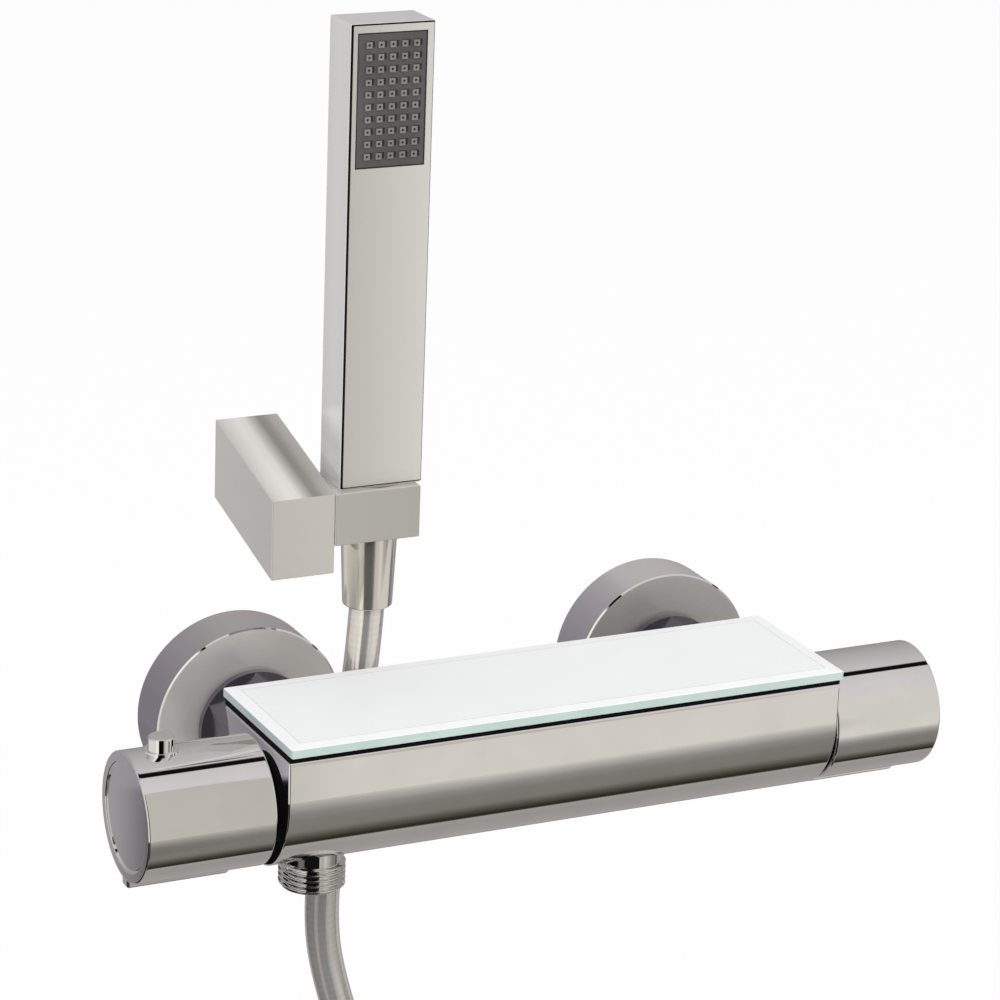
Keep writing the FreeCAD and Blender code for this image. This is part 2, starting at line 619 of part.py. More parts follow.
def arc_edge(start, way, end):
    """Arc from start, leaving along way, to end."""
    chord = end - start
    half_turn = way.getAngle(chord)
    side = way - chord * (way.dot(chord) / chord.dot(chord))
    middle = start + chord / 2
    if side.Length > 0 and half_turn > 0:
        middle = middle + side.normalize() * (chord.Length / 2 * math.tan(half_turn / 2))
    return Part.Arc(start, middle, end).toShape()


def biarc(start, start_way, end, end_way):
    """Two arcs that leave start along start_way, join smoothly and reach end along end_way."""
    chord = end - start
    ways = start_way + end_way
    spread = 2 * (1 - start_way.dot(end_way))
    along = chord.dot(ways)
    reach = (math.sqrt(along * along + spread * chord.dot(chord)) - along) / spread
    knot = (start + start_way * reach + end - end_way * reach) / 2
    knot_way = (end - end_way * reach - start - start_way * reach).normalize()
    return [arc_edge(start, start_way, knot), arc_edge(knot, knot_way, end)]


def winding_edges(points, ways):
    """Arcs through all the points of a winding."""
    edges = []
    for step in range(len(points) - 1):
        edges += biarc(points[step], ways[step], points[step + 1], ways[step + 1])
    return edges


def swept(edges, radius):
    """Round bar along a chain of edges."""
    path = Part.Wire(edges)
    first = edges[0]
    start = first.valueAt(first.FirstParameter)
    way = first.tangentAt(first.FirstParameter)
    section = Part.Wire([Part.makeCircle(radius, start, way)])
    shell = Part.BRepOffsetAPI.MakePipeShell(path)
    shell.add(section)
    shell.build()
    shell.makeSolid()
    return Part.Solid(shell.shape())


def report_tube(name, solid, edges, radius):
    """Print a tube's volume beside its section times its length."""
    length = sum(edge.Length for edge in edges)
    expected = math.pi * radius * radius * length
    print(name, "length", round(length, 1), "volume", round(solid.Volume), "expected", round(expected))
    return length


def least_self_gap(points, turn_length, diameter):
    """Least gap between turns of a winding, from points spaced evenly along it."""
    spacing = sum((b - a).Length for a, b in zip(points, points[1:])) / (len(points) - 1)
    apart = int(turn_length / 2 / spacing)
    least = turn_length
    for index, point in enumerate(points):
        for other in points[index + apart:]:
            least = min(least, (other - point).Length)
    return least - diameter


def safety_spring():
    """Return spring of the safety button, between the cup's floor and the button."""
    low = KNOB_RADIUS - BUTTON_CUP_DEPTH + SPRING_WIRE + FIT_GAP
    high = KNOB_RADIUS + BUTTON_PROUD - BUTTON_LENGTH - SPRING_WIRE - FIT_GAP
    quarters = 4 * SPRING_TURNS
    rise = (high - low) / (2 * math.pi * SPRING_TURNS)
    points = []
    ways = []
    for step in range(quarters + 1):
        angle = step * math.pi / 2
        height = low + (high - low) * step / quarters
        offset = Vector(SPRING_RADIUS * math.cos(angle), SPRING_RADIUS * math.sin(angle), height)
        points.append(button_base() + offset)
        way = Vector(-SPRING_RADIUS * math.sin(angle), SPRING_RADIUS * math.cos(angle), rise)
        ways.append(way.normalize())
    edges = winding_edges(points, ways)
    solid = swept(edges, SPRING_WIRE)
    report_tube("safety_button_spring", solid, edges, SPRING_WIRE)
    samples = Part.Wire(edges).discretize(Number=quarters * quarters)
    gap = least_self_gap(samples, 2 * math.pi * SPRING_RADIUS, 2 * SPRING_WIRE)
    print("safety_button_spring least gap to itself", round(gap, 2))
    return solid


# Wall bracket and holder

def block_rise(depth):
    """Height the sloping block gains at a y, from none at its front to BLOCK_RISE at the wall."""
    return BLOCK_RISE * (1 + depth / BLOCK_DEPTH)


def sloping_box(low, high):
    """Box between two opposite corners, its top and bottom sloping like the block."""
    corners = [(low.y, low.z), (high.y, low.z), (high.y, high.z), (low.y, high.z)]
    points = [Vector(low.x, depth, height + block_rise(depth)) for depth, height in corners]
    face = Part.Face(Part.makePolygon(points + points[:1]))
    return face.extrude(RIGHT * (high.x - low.x))


def screw_heights():
    """Heights of the two wall screws, either side of the middle of the wall plate's face."""
    middle = (BLOCK_TOP + BLOCK_BOTTOM) / 2 + block_rise(-PLATE_THICKNESS)
    return [middle + sign * WALL_SCREW_SPACING / 2 for sign in (-1, 1)]


def grub_base():
    """Point on the grub screw's axis at the block's underside."""
    depth = -PLATE_THICKNESS / 2
    return Vector((BLOCK_LEFT + BLOCK_RIGHT) / 2, depth, BLOCK_BOTTOM + block_rise(depth))


def holder_screw_seat():
    """Point under the head of the screw that holds the holder."""
    return Vector(BLOCK_RIGHT - BLOCK_WALL, -HANDSET_OUT, BLOCK_TOP - HOLDER_HEIGHT / 2)


def bracket_block():
    """Square block that slopes down from the wall, hollow from the wall side."""
    outer = sloping_box(Vector(BLOCK_LEFT, -BLOCK_DEPTH, BLOCK_BOTTOM), Vector(BLOCK_RIGHT, 0, BLOCK_TOP))
    outer = softened(outer, BLOCK_EDGE)
    low = Vector(BLOCK_LEFT + BLOCK_WALL, -BLOCK_DEPTH + BLOCK_WALL, BLOCK_BOTTOM + BLOCK_WALL)
    high = Vector(BLOCK_RIGHT - BLOCK_WALL, CUT_OVERRUN, BLOCK_TOP - BLOCK_WALL)
    block = outer.cut(sloping_box(low, high))
    block = block.cut(rod(GRUB_RADIUS + FIT_GAP, -CUT_OVERRUN, BLOCK_WALL + CUT_OVERRUN, grub_base(), UP))
    shank = HOLDER_SCREW_RADIUS + FIT_GAP
    return block.cut(rod(shank, -CUT_OVERRUN, BLOCK_WALL + CUT_OVERRUN, holder_screw_seat(), RIGHT))


def bracket_wall_plate():
    """Plate screwed to the wall; the block slips over it."""
    inset = BLOCK_WALL + FIT_GAP
    low = Vector(BLOCK_LEFT + inset, -PLATE_THICKNESS, BLOCK_BOTTOM + inset)
    plate = sloping_box(low, Vector(BLOCK_RIGHT - inset, 0, BLOCK_TOP - inset))
    for height in screw_heights():
        centre = Vector((BLOCK_LEFT + BLOCK_RIGHT) / 2, 0, height)
        plate = plate.cut(rod(WALL_SCREW_RADIUS + FIT_GAP, -CUT_OVERRUN, PLATE_THICKNESS + CUT_OVERRUN, centre, OUT))
    return plate.cut(rod(GRUB_RADIUS + FIT_GAP, 0, BLOCK_WALL + GRUB_ENGAGEMENT, grub_base(), UP))


def bracket_wall_screws():
    """Two screws through the plate into the wall."""
    length = PLATE_THICKNESS + WALL_SCREW_LENGTH
    screws = []
    for height in screw_heights():
        seat = Vector((BLOCK_LEFT + BLOCK_RIGHT) / 2, -PLATE_THICKNESS, height)
        screws.append(screw(WALL_SCREW_RADIUS, length, WALL_SCREW_HEAD_RADIUS, WALL_SCREW_HEAD, seat, OUT * -1))
    return Part.makeCompound(screws)


def bracket_grub_screw():
    """Grub screw from below that locks the block to the plate."""
    return rod(GRUB_RADIUS, GRUB_RECESS, BLOCK_WALL + GRUB_ENGAGEMENT - FIT_GAP, grub_base(), UP)


def top_nut_radius(height):
    """Outer radius of the conical nut at a height."""
    share = (height - TOP_NUT_LOW) / TOP_NUT_LENGTH
    return TOP_NUT_RADIUS_LOW + (TOP_NUT_RADIUS_HIGH - TOP_NUT_RADIUS_LOW) * share


def holder():
    """Holder block with a conical seat for the hose nut and a side slot for the hose."""
    low_z = BLOCK_TOP - HOLDER_HEIGHT
    seat_low = top_nut_radius(low_z) + TURN_GAP
    seat_high = top_nut_radius(BLOCK_TOP) + TURN_GAP
    half_depth = seat_high + HOLDER_WALL
    right = BLOCK_RIGHT + HOLDER_WIDTH
    low = Vector(BLOCK_RIGHT, -HANDSET_OUT - half_depth, low_z)
    body = softened(box(low, Vector(right, -HANDSET_OUT + half_depth, BLOCK_TOP)), BLOCK_EDGE)
    body = body.cut(turned([(0, low_z), (seat_low, low_z), (seat_high, BLOCK_TOP), (0, BLOCK_TOP)], HANDSET_AXIS, UP))
    slot = NUT_BORE + TURN_GAP
    slot_low = Vector(HANDSET_X, -HANDSET_OUT - slot, low_z - CUT_OVERRUN)
    body = body.cut(box(slot_low, Vector(right + CUT_OVERRUN, -HANDSET_OUT + slot, BLOCK_TOP + CUT_OVERRUN)))
    hole = BLOCK_WALL + HOLDER_SCREW_ENGAGEMENT + FIT_GAP
    return body.cut(rod(HOLDER_SCREW_RADIUS + FIT_GAP, 0, hole, holder_screw_seat(), RIGHT))


def holder_screw():
    """Screw from inside the block into the holder."""
    length = BLOCK_WALL + HOLDER_SCREW_ENGAGEMENT
    return screw(HOLDER_SCREW_RADIUS, length, HOLDER_SCREW_HEAD_RADIUS, HOLDER_SCREW_HEAD, holder_screw_seat(), RIGHT)


# Handset

def spray_box(inset, face, back):
    """Upright box behind the spray window, drawn in by inset on its four sides."""
    half = SPRAY_WIDTH / 2 - inset
    low = Vector(HANDSET_X - half, face, SPRAY_TOP - SPRAY_HEIGHT + inset)
    return box(low, Vector(HANDSET_X + half, back, SPRAY_TOP - inset))


def nozzle_centres():
    """Places of the nozzles across the spray face."""
    centres = []
    for row in range(NOZZLE_ROWS):
        for column in range(NOZZLE_COLUMNS):
            x = HANDSET_X + (column - (NOZZLE_COLUMNS - 1) / 2) * NOZZLE_PITCH_X
            z = SPRAY_MIDDLE + (row - (NOZZLE_ROWS - 1) / 2) * NOZZLE_PITCH_Z
            centres.append((x, z))
    return centres


def nozzle_bars(size, face, back):
    """Square bars at all the nozzles."""
    bars = []
    for x, z in nozzle_centres():
        low = Vector(x - size / 2, face, z - size / 2)
        bars.append(box(low, Vector(x + size / 2, back, z + size / 2)))
    return bars


def handset_body():
    """Rectangular tube closed at both ends, with the spray window in its front."""
    outer = box(Vector(HANDSET_LEFT, HANDSET_FRONT, HANDSET_BOTTOM),
                Vector(HANDSET_LEFT + HANDSET_WIDTH, HANDSET_FRONT + HANDSET_THICKNESS, HANDSET_TOP))
    low = Vector(HANDSET_LEFT + HANDSET_WALL, HANDSET_FRONT + HANDSET_WALL, HANDSET_BOTTOM + HANDSET_FLOOR)
    high = Vector(HANDSET_LEFT + HANDSET_WIDTH - HANDSET_WALL,
                  HANDSET_FRONT + HANDSET_THICKNESS - HANDSET_WALL, HANDSET_TOP - HANDSET_WALL)
    shell = softened(outer, HANDSET_EDGE).cut(box(low, high))
    shell = shell.cut(spray_box(-FIT_GAP, HANDSET_FRONT - CUT_OVERRUN, MAT_FACE))
    hole_low = HANDSET_BOTTOM - CUT_OVERRUN
    hole_high = HANDSET_BOTTOM + HANDSET_FLOOR + CUT_OVERRUN
    return shell.cut(rod(INLET_THREAD_RADIUS + FIT_GAP, hole_low, hole_high, HANDSET_AXIS, UP))


def spray_plate():
    """Dark face plate with square holes for the nozzles."""
    plate = spray_box(0, SPRAY_FACE, MAT_FACE)
    size = NOZZLE_SIZE + 2 * FIT_GAP
    return plate.cut(nozzle_bars(size, SPRAY_FACE - CUT_OVERRUN, MAT_FACE + CUT_OVERRUN))


def spray_nozzles():
    """Rubber mat whose nozzles stand through the plate, each with its bore."""
    mat = spray_box(MAT_INSET, MAT_FACE, TRAY_FACE)
    mat = mat.fuse(nozzle_bars(NOZZLE_SIZE, SPRAY_FACE - NOZZLE_PROUD, TRAY_FACE - MAT_THICKNESS / 2))
    bores = []
    for x, z in nozzle_centres():
        start = Vector(x, TRAY_FACE, z)
        bores.append(rod(NOZZLE_BORE, -CUT_OVERRUN, TRAY_FACE - SPRAY_FACE + CUT_OVERRUN, start, OUT))
    return mat.cut(bores).removeSplitter()


def spray_tray():
    """Tray behind the mat that spreads the water."""
    back = HANDSET_FRONT + HANDSET_THICKNESS - HANDSET_WALL - FIT_GAP
    tray = spray_box(0, TRAY_FACE, back)
    tray = tray.cut(spray_box(TRAY_WALL, TRAY_FACE - CUT_OVERRUN, back - TRAY_WALL))
    low = SPRAY_TOP - SPRAY_HEIGHT
    hole = FLOW_TUBE_RADIUS - FLOW_TUBE_WALL
    return tray.cut(rod(hole, low - CUT_OVERRUN, low + TRAY_WALL + CUT_OVERRUN, HANDSET_AXIS, UP))


def handset_inlet():
    """Threaded inlet in the handset's floor, with a socket for the flow tube."""
    floor_top = HANDSET_BOTTOM + HANDSET_FLOOR
    socket = FLOW_TUBE_RADIUS + FIT_GAP
    socket_low = INLET_HIGH - FLOW_TUBE_SOCKET
    outline = [(INLET_BORE, INLET_LOW), (INLET_THREAD_RADIUS, INLET_LOW), (INLET_THREAD_RADIUS, floor_top)]
    outline += [(INLET_TAIL_RADIUS, floor_top), (INLET_TAIL_RADIUS, INLET_HIGH), (socket, INLET_HIGH)]
    outline += [(socket, socket_low), (INLET_BORE, socket_low)]
    return turned(outline, HANDSET_AXIS, UP)


def flow_tube():
    """Water tube inside the handset from the inlet to the tray."""
    inner = FLOW_TUBE_RADIUS - FLOW_TUBE_WALL
    low = INLET_HIGH - FLOW_TUBE_SOCKET
    return ring(FLOW_TUBE_RADIUS, inner, low, SPRAY_TOP - SPRAY_HEIGHT, HANDSET_AXIS, UP)


def handset_washer():
    """Rubber washer under the inlet."""
    low = FERRULE_HIGH + TURN_GAP / 2
    return ring(FERRULE_FLANGE_RADIUS, INLET_BORE, low, INLET_LOW, HANDSET_AXIS, UP)


# Hose and fittings

def hose_top_nut():
    """Conical nut that joins the hose to the handset and sits in the holder."""
    pocket = INLET_THREAD_RADIUS + FIT_GAP
    shoulder = FERRULE_FLANGE_LOW - TURN_GAP / 2
    outline = [(NUT_BORE, TOP_NUT_LOW), (TOP_NUT_RADIUS_LOW - TOP_NUT_EDGE, TOP_NUT_LOW)]
    outline += [(TOP_NUT_RADIUS_LOW, TOP_NUT_LOW + TOP_NUT_EDGE), (TOP_NUT_RADIUS_HIGH, TOP_NUT_HIGH)]
    outline += [(pocket, TOP_NUT_HIGH), (pocket, shoulder), (NUT_BORE, shoulder)]
    return turned(outline, HANDSET_AXIS, UP)


def hose_top_ferrule():
    """Fitting at the hose's top end, on which the conical nut turns."""
    outline = [(INLET_BORE, FERRULE_LOW), (HOSE_RADIUS, FERRULE_LOW), (HOSE_RADIUS, FERRULE_FLANGE_LOW)]
    outline += [(FERRULE_FLANGE_RADIUS, FERRULE_FLANGE_LOW), (FERRULE_FLANGE_RADIUS, FERRULE_HIGH)]
    outline += [(INLET_BORE, FERRULE_HIGH)]
    return turned(outline, HANDSET_AXIS, UP)


def route_edges(points):
    """Straight runs joined by tangent arcs as large as the runs allow; prints the arcs' radii."""
    edges = []
    radii = []
    here = points[0]
    for before, corner, after in zip(points, points[1:], points[2:]):
        back = before - corner
        ahead = after - corner
        reach = ROUTE_ARC_SHARE * min(back.Length, ahead.Length)
        turn = math.pi - back.getAngle(ahead)
        radii.append(round(reach / math.tan(turn / 2)))
        start = corner + back.normalize() * reach
        edges.append(Part.LineSegment(here, start).toShape())
        here = corner + ahead.normalize() * reach
        edges.append(arc_edge(start, back * -1, here))
    edges.append(Part.LineSegment(here, points[-1]).toShape())
    print("hose_drop radii", radii)
    return edges


def route_points():
    """Points of the hose's route, from just below its top ferrule."""
    top = HANDSET_AXIS + UP * (FERRULE_LOW - TURN_GAP)
    return [top] + [top + Vector(*point) for point in HOSE_ROUTE]


def coil_start():
    """Start of the coil's turns, below a straight lead one diameter long."""
    return route_points()[-1] + DOWN * HOSE_DIAMETER


def hose_parts():
    """The hose as a drop, and a hanging coil that ends in a straight tail; the two make up its length."""
    drop_edges = route_edges(route_points())
    drop = swept(drop_edges, HOSE_RADIUS)
    length = report_tube("hose_drop", drop, drop_edges, HOSE_RADIUS)
    centre = coil_start() + RIGHT * COIL_RADIUS
    quarters = 4 * COIL_TURNS
    points = []
    ways = []
    for step in range(quarters + 1):
        angle = math.pi + step * math.pi / 2
        away = COIL_PITCH * step / 4
        points.append(centre + Vector(COIL_RADIUS * math.cos(angle), -away, COIL_RADIUS * math.sin(angle)))
        slope = COIL_PITCH / (2 * math.pi)
        way = Vector(-COIL_RADIUS * math.sin(angle), -slope, COIL_RADIUS * math.cos(angle))
        ways.append(way.normalize())
    ways[0] = DOWN
    ways[-1] = DOWN
    turns = winding_edges(points, ways)
    wound = sum(edge.Length for edge in turns)
    tail = HOSE_LENGTH - length - HOSE_DIAMETER - wound
    tail_end = points[-1] + DOWN * tail
    edges = [Part.LineSegment(route_points()[-1], points[0]).toShape()]
    edges += turns
    edges.append(Part.LineSegment(points[-1], tail_end).toShape())
    coil = swept(edges, HOSE_RADIUS)
    length += report_tube("hose_coil", coil, edges, HOSE_RADIUS)
    samples = Part.Wire(turns).discretize(Distance=HOSE_RADIUS / 2)
    gap = least_self_gap(samples, wound / COIL_TURNS, HOSE_DIAMETER)
    print("hose_coil least gap to itself", round(gap, 2), "tail", round(tail, 1), "hose length", round(length, 1))
    return drop, coil, tail_end


def hose_tie():
    """Strap round the coil's turns at their right-hand side."""
    centre = coil_start() + RIGHT * (2 * COIL_RADIUS)
    first = centre.y - COIL_PITCH / 2
    last = first - COIL_PITCH * (COIL_TURNS - 1)
    reach = HOSE_RADIUS + TURN_GAP
    inner_low = Vector(centre.x - reach, last - reach, centre.z - TIE_HEIGHT / 2)
    inner_high = Vector(centre.x + reach, first + reach, centre.z + TIE_HEIGHT / 2)
    wall = Vector(TIE_THICKNESS, TIE_THICKNESS, 0)
    over = Vector(0, 0, CUT_OVERRUN)
    return box(inner_low - wall, inner_high + wall).cut(box(inner_low - over, inner_high + over))


def hose_end_ferrule(tail_end):
    """Flanged sleeve at the hose's free end; heights run down from that end."""
    outline = [(INLET_BORE, 0), (HOSE_RADIUS, 0), (HOSE_RADIUS, END_SLEEVE), (END_FLANGE_RADIUS, END_SLEEVE)]
    outline += [(END_FLANGE_RADIUS, END_SLEEVE + END_FLANGE), (INLET_BORE, END_SLEEVE + END_FLANGE)]
    return turned(outline, tail_end, DOWN)


def end_nut_low():
    """Height, below the hose's end, of the end nut's upper face."""
    return END_SLEEVE - TURN_GAP / 2 - END_NUT_SHOULDER


def hose_end_nut(tail_end):
    """Hexagon nut for the mixer's outlet, loose on the hose's end."""
    low = end_nut_low()
    high = low + END_NUT_LENGTH
    nut = hex_nut(END_NUT_ACROSS_FLATS, END_NUT_CHAMFER, low, high, tail_end, DOWN)
    nut = nut.cut(rod(NUT_BORE, low - CUT_OVERRUN, high, tail_end, DOWN))
    return nut.cut(rod(END_NUT_THREAD_RADIUS, low + END_NUT_SHOULDER, high + CUT_OVERRUN, tail_end, DOWN))


def hose_end_washer(tail_end):
    """Rubber washer held in the end nut's thread."""
    low = END_SLEEVE + END_FLANGE + TURN_GAP / 2
    return ring(END_NUT_THREAD_RADIUS - FIT_GAP, INLET_BORE, low, low + END_WASHER_THICKNESS, tail_end, DOWN)


def paired(names, builders):
    """Left and right copies of the pieces that both wall inlets have."""
    shapes = {}
    for word, side in (("left", -1), ("right", 1)):
        for name, builder in zip(names, builders):
            shapes[word + "_" + name] = builder(side)
    return shapes


def control(word, side, length):
    """The pieces behind one knob."""
    return {
        word + "_cartridge": cartridge(side),
        word + "_cartridge_nut": cartridge_nut(side),
        word + "_stop_ring": stop_ring(side),
        word + "_spindle": spindle(side),
        word + "_knob_hub": knob_hub(side),
        word + "_knob_screw": knob_screw(side),
        word + "_end_cap": end_cap(side, length),
    }


def all_parts():
    """Every node's shape by name."""
    drop, coil, tail_end = hose_parts()
    parts = {
        "mixer_body": mixer_body(),
        "shelf_pad": shelf_pad(),
        "glass_shelf": glass_shelf(),
        "outlet_nipple": outlet_nipple(),
        "outlet_seal": outlet_seal(),
    }
    inlet_names = ["union", "union_washer", "union_nut", "check_valve", "escutcheon"]
    parts.update(paired(inlet_names, [union, union_washer, union_nut, check_valve, escutcheon]))
    parts.update(control("temperature", -1, TEMPERATURE_KNOB_LENGTH))
    parts.update(control("flow", 1, FLOW_KNOB_LENGTH))
    parts.update({
        "temperature_knob": temperature_knob(),
        "flow_knob": flow_knob(),
        "safety_button": safety_button(),
        "safety_button_spring": safety_spring(),
        "bracket_block": bracket_block(),
        "bracket_wall_plate": bracket_wall_plate(),
        "bracket_wall_screws": bracket_wall_screws(),
        "bracket_grub_screw": bracket_grub_screw(),
        "holder": holder(),
        "holder_screw": holder_screw(),
        "handset_body": handset_body(),
        "spray_plate": spray_plate(),
        "spray_nozzles": spray_nozzles(),
        "spray_tray": spray_tray(),
        "handset_inlet": handset_inlet(),
        "handset_flow_tube": flow_tube(),
        "handset_washer": handset_washer(),
        "hose_top_nut": hose_top_nut(),
        "hose_top_ferrule": hose_top_ferrule(),
        "hose_drop": drop,
        "hose_coil": coil,
        "hose_tie": hose_tie(),
        "hose_end_ferrule": hose_end_ferrule(tail_end),
        "hose_end_nut": hose_end_nut(tail_end),
        "hose_end_washer": hose_end_washer(tail_end),
    })
    return parts


os.makedirs("parts", exist_ok=True)
for node, shape in all_parts().items():
    if not shape.isValid():
        print("not valid:", node)
    shape.exportStep("parts/" + node + ".step")
    print(node, len(shape.Solids), "solid", round(shape.Volume), "mm3")
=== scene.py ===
"""Shower set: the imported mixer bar, bracket, handset and hose, dressed in their finishes.

Lengths are in millimetres until a mesh is made. The wall is the plane y = 0 and the room is at -Y.
"""
import json
import math

import bpy
import numpy as np
from mathutils import Matrix


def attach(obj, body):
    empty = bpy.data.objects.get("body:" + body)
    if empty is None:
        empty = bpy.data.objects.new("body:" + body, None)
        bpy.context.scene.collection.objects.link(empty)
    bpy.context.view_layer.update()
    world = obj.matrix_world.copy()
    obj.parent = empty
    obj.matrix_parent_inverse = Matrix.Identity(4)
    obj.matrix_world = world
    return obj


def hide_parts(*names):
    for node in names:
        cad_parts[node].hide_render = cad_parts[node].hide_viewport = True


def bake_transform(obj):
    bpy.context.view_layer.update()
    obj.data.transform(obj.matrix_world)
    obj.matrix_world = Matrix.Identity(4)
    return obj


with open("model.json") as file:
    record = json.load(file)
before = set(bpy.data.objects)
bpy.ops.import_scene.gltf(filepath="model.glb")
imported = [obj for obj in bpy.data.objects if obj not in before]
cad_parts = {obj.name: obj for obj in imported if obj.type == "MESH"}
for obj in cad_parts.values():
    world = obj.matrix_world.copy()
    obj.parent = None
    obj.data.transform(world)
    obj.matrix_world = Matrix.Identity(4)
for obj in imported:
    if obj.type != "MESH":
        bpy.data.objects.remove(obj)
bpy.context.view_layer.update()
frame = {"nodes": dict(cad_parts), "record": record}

scene = bpy.context.scene
MM = 0.001
FULL_TURN = 2 * math.pi

# Ways along the row's axes
RIGHT = np.array([1.0, 0.0, 0.0])
BACK = np.array([0.0, 1.0, 0.0])
UP = np.array([0.0, 0.0, 1.0])

# Places and sizes repeated from the part
AXIS = np.array([0.0, -76.7, 0.0])
INLET_X = 75.0
BODY_HALF = 95.5
OUTLET = np.array([-78.0, -76.7, 0.0])
BUTTON = AXIS - RIGHT * 128.2
HANDSET_AXIS = np.array([-43.7, -37.0, 0.0])


# Shapes

# reach of an open profile's end points, which only give a direction
INWARDS = -2.0


def filleted(corners, closed=False, steps=5):
    """Outline of straight runs with rounded corners, from rows of (across, along, radius).

    Each corner gives way to the arc that touches both of its runs; an open outline's two end points only
    give its first and last directions. Returns the points and the normals to the right of the way it runs."""
    least_turn, most_of_run = 1e-6, 0.4995
    rows = np.array([(*corner, 0.0)[:3] for corner in corners], float)
    points, radius = rows[:, :2], rows[:, 2]
    come = points - np.roll(points, 1, axis=0)
    go = np.roll(points, -1, axis=0) - points
    come_length, go_length = np.linalg.norm(come, axis=1), np.linalg.norm(go, axis=1)
    come, go = come / come_length[:, None], go / go_length[:, None]
    turn = np.arctan2(come[:, 0] * go[:, 1] - come[:, 1] * go[:, 0], (come * go).sum(1))
    half = np.tan(np.maximum(np.abs(turn), least_turn) / 2)
    reach = np.minimum(radius * half, most_of_run * np.minimum(come_length, go_length))
    bend = np.sign(turn) * reach / half
    right = np.stack([come[:, 1], -come[:, 0]], axis=1)
    centre = points - come * reach[:, None] - right * bend[:, None]
    angle = turn[:, None] * np.linspace(0, 1, steps + 1)
    cos, sin = np.cos(angle), np.sin(angle)
    normal = np.stack([right[:, :1] * cos - right[:, 1:] * sin,
                       right[:, :1] * sin + right[:, 1:] * cos], axis=2)
    arc = centre[:, None] + normal * bend[:, None, None]
    if not closed:
        arc, normal = arc[1:-1], normal[1:-1]
    return arc.reshape(-1, 2), normal.reshape(-1, 2)


def oblong(half_across, half_along, rounding, steps=5):
    """Outline of a rounded rectangle about its middle, with its normals and its corners' mitres."""
    corners = [(across * half_across, along * half_along, rounding)
               for across, along in ((-1, -1), (1, -1), (1, 1), (-1, 1))]
    place, out = filleted(corners, closed=True, steps=steps)
    return place, out, np.sign(place)


def circle(count):
    """Outline of no size whose normals go once round, so a profile carried on it is turned."""
    angle = np.arange(count) * FULL_TURN / count
    return np.zeros((count, 2)), np.stack([np.cos(angle), np.sin(angle)], axis=1)


def carried(outline, profile, base, axis, side, closed=False):
    """Grid of a profile carried round an outline.

    A point is base + axis times the profile's height + the outline's point pushed out by the profile's reach,
    along its normal or along the outline's third array; its normal tilts from the outline's normal to the
    axis as the profile's does."""
    place, out, push = outline[0], outline[1], outline[-1]
    row, tilt = profile
    spread = np.stack([side, np.cross(axis, side)])
    points = base + row[:, None, 1:] * axis + (place[None] + push[None] * row[:, None, :1]) @ spread
    normals = (out[None] * tilt[:, None, :1]) @ spread + tilt[:, None, 1:] * axis
    return points, normals, closed


def bar(radius, start, end, first, last):
    """Profile of a round bar between two heights, with the roundings of its first and last edges."""
    return [(0, start), (radius, start, first), (radius, end, last), (0, end)]


def turned(corners, base, axis, closed=False, count=128):
    """Turned solid: a profile of (radius, height, rounding) carried round a line from base along axis."""
    side = RIGHT if abs(axis[2]) > 0.5 else UP
    return carried(circle(count), filleted(corners, closed), base, axis, side, closed)


def smooth_normals(points):
    """Unit normals of a grid round the upright axis: the way round crossed with the way along, turned out."""
    around = np.roll(points, -1, axis=1) - np.roll(points, 1, axis=1)
    normals = np.cross(around, -np.gradient(points, axis=0))
    normals /= np.linalg.norm(normals, axis=2)[:, :, None]
    return normals * np.sign((normals[..., :2] * points[..., :2]).sum())


def round_tube(path, radius, across, count):
    """Tube along a path in metres: a circle square to its way, begun square to a direction across it."""
    way = np.gradient(path, axis=0)
    way /= np.linalg.norm(way, axis=1)[:, None]
    side = np.cross(way, across)
    side /= np.linalg.norm(side, axis=1)[:, None]
    out = circle(count)[1] @ np.stack([side, np.cross(side, way)], axis=1)
    return path[:, None] / MM + out * radius, out, False


def quads(rows, columns, closed):
    """Corner numbers of the squares of a grid that wraps across its columns, and down its rows if closed."""
    down = np.arange(rows if closed else rows - 1)[:, None]
    along = np.arange(columns)[None]
    below, beside = (down + 1) % rows, (along + 1) % columns
    corners = [down * columns + along, down * columns + beside,
               below * columns + beside, below * columns + along]
    return np.stack(corners, axis=2).reshape(-1, 4)


def outwards(faces, points, normals):
    """The same faces, turned round if they look against the surface's normals."""
    first, second, last = points[faces[:, 0]], points[faces[:, 1]], points[faces[:, -1]]
    facing = (np.cross(second - first, last - first) * normals[faces[:, 0]]).sum()
    return faces if facing > 0 else faces[:, ::-1]


def made(name, grids, material, body, replaces=()):
    """Mesh of grids with their own normals; flat faces close an open grid's first and last rows."""
    all_points, all_normals, faces, start = [], [], [], 0
    for points, normals, closed in grids:
        rows, columns = points.shape[:2]
        flat, facing = points.reshape(-1, 3), normals.reshape(-1, 3)
        parts = [outwards(quads(rows, columns, closed), flat, facing)]
        ends = () if closed else (np.arange(columns), np.arange((rows - 1) * columns, rows * columns))
        for loop in ends:
            area = np.cross(flat[loop], np.roll(flat[loop], -1, axis=0)).sum(0)
            parts.append((loop if area @ facing[loop[0]] > 0 else loop[::-1])[None])
        faces += [face for part in parts for face in (part + start).tolist()]
        all_points.append(flat)
        all_normals.append(facing)
        start += len(flat)
    mesh = bpy.data.meshes.new(name)
    mesh.from_pydata((np.concatenate(all_points) * MM).tolist(), [], faces)
    mesh.shade_smooth()
    mesh.normals_split_custom_set_from_vertices(np.concatenate(all_normals).tolist())
    return placed(name, mesh, material, body, replaces)


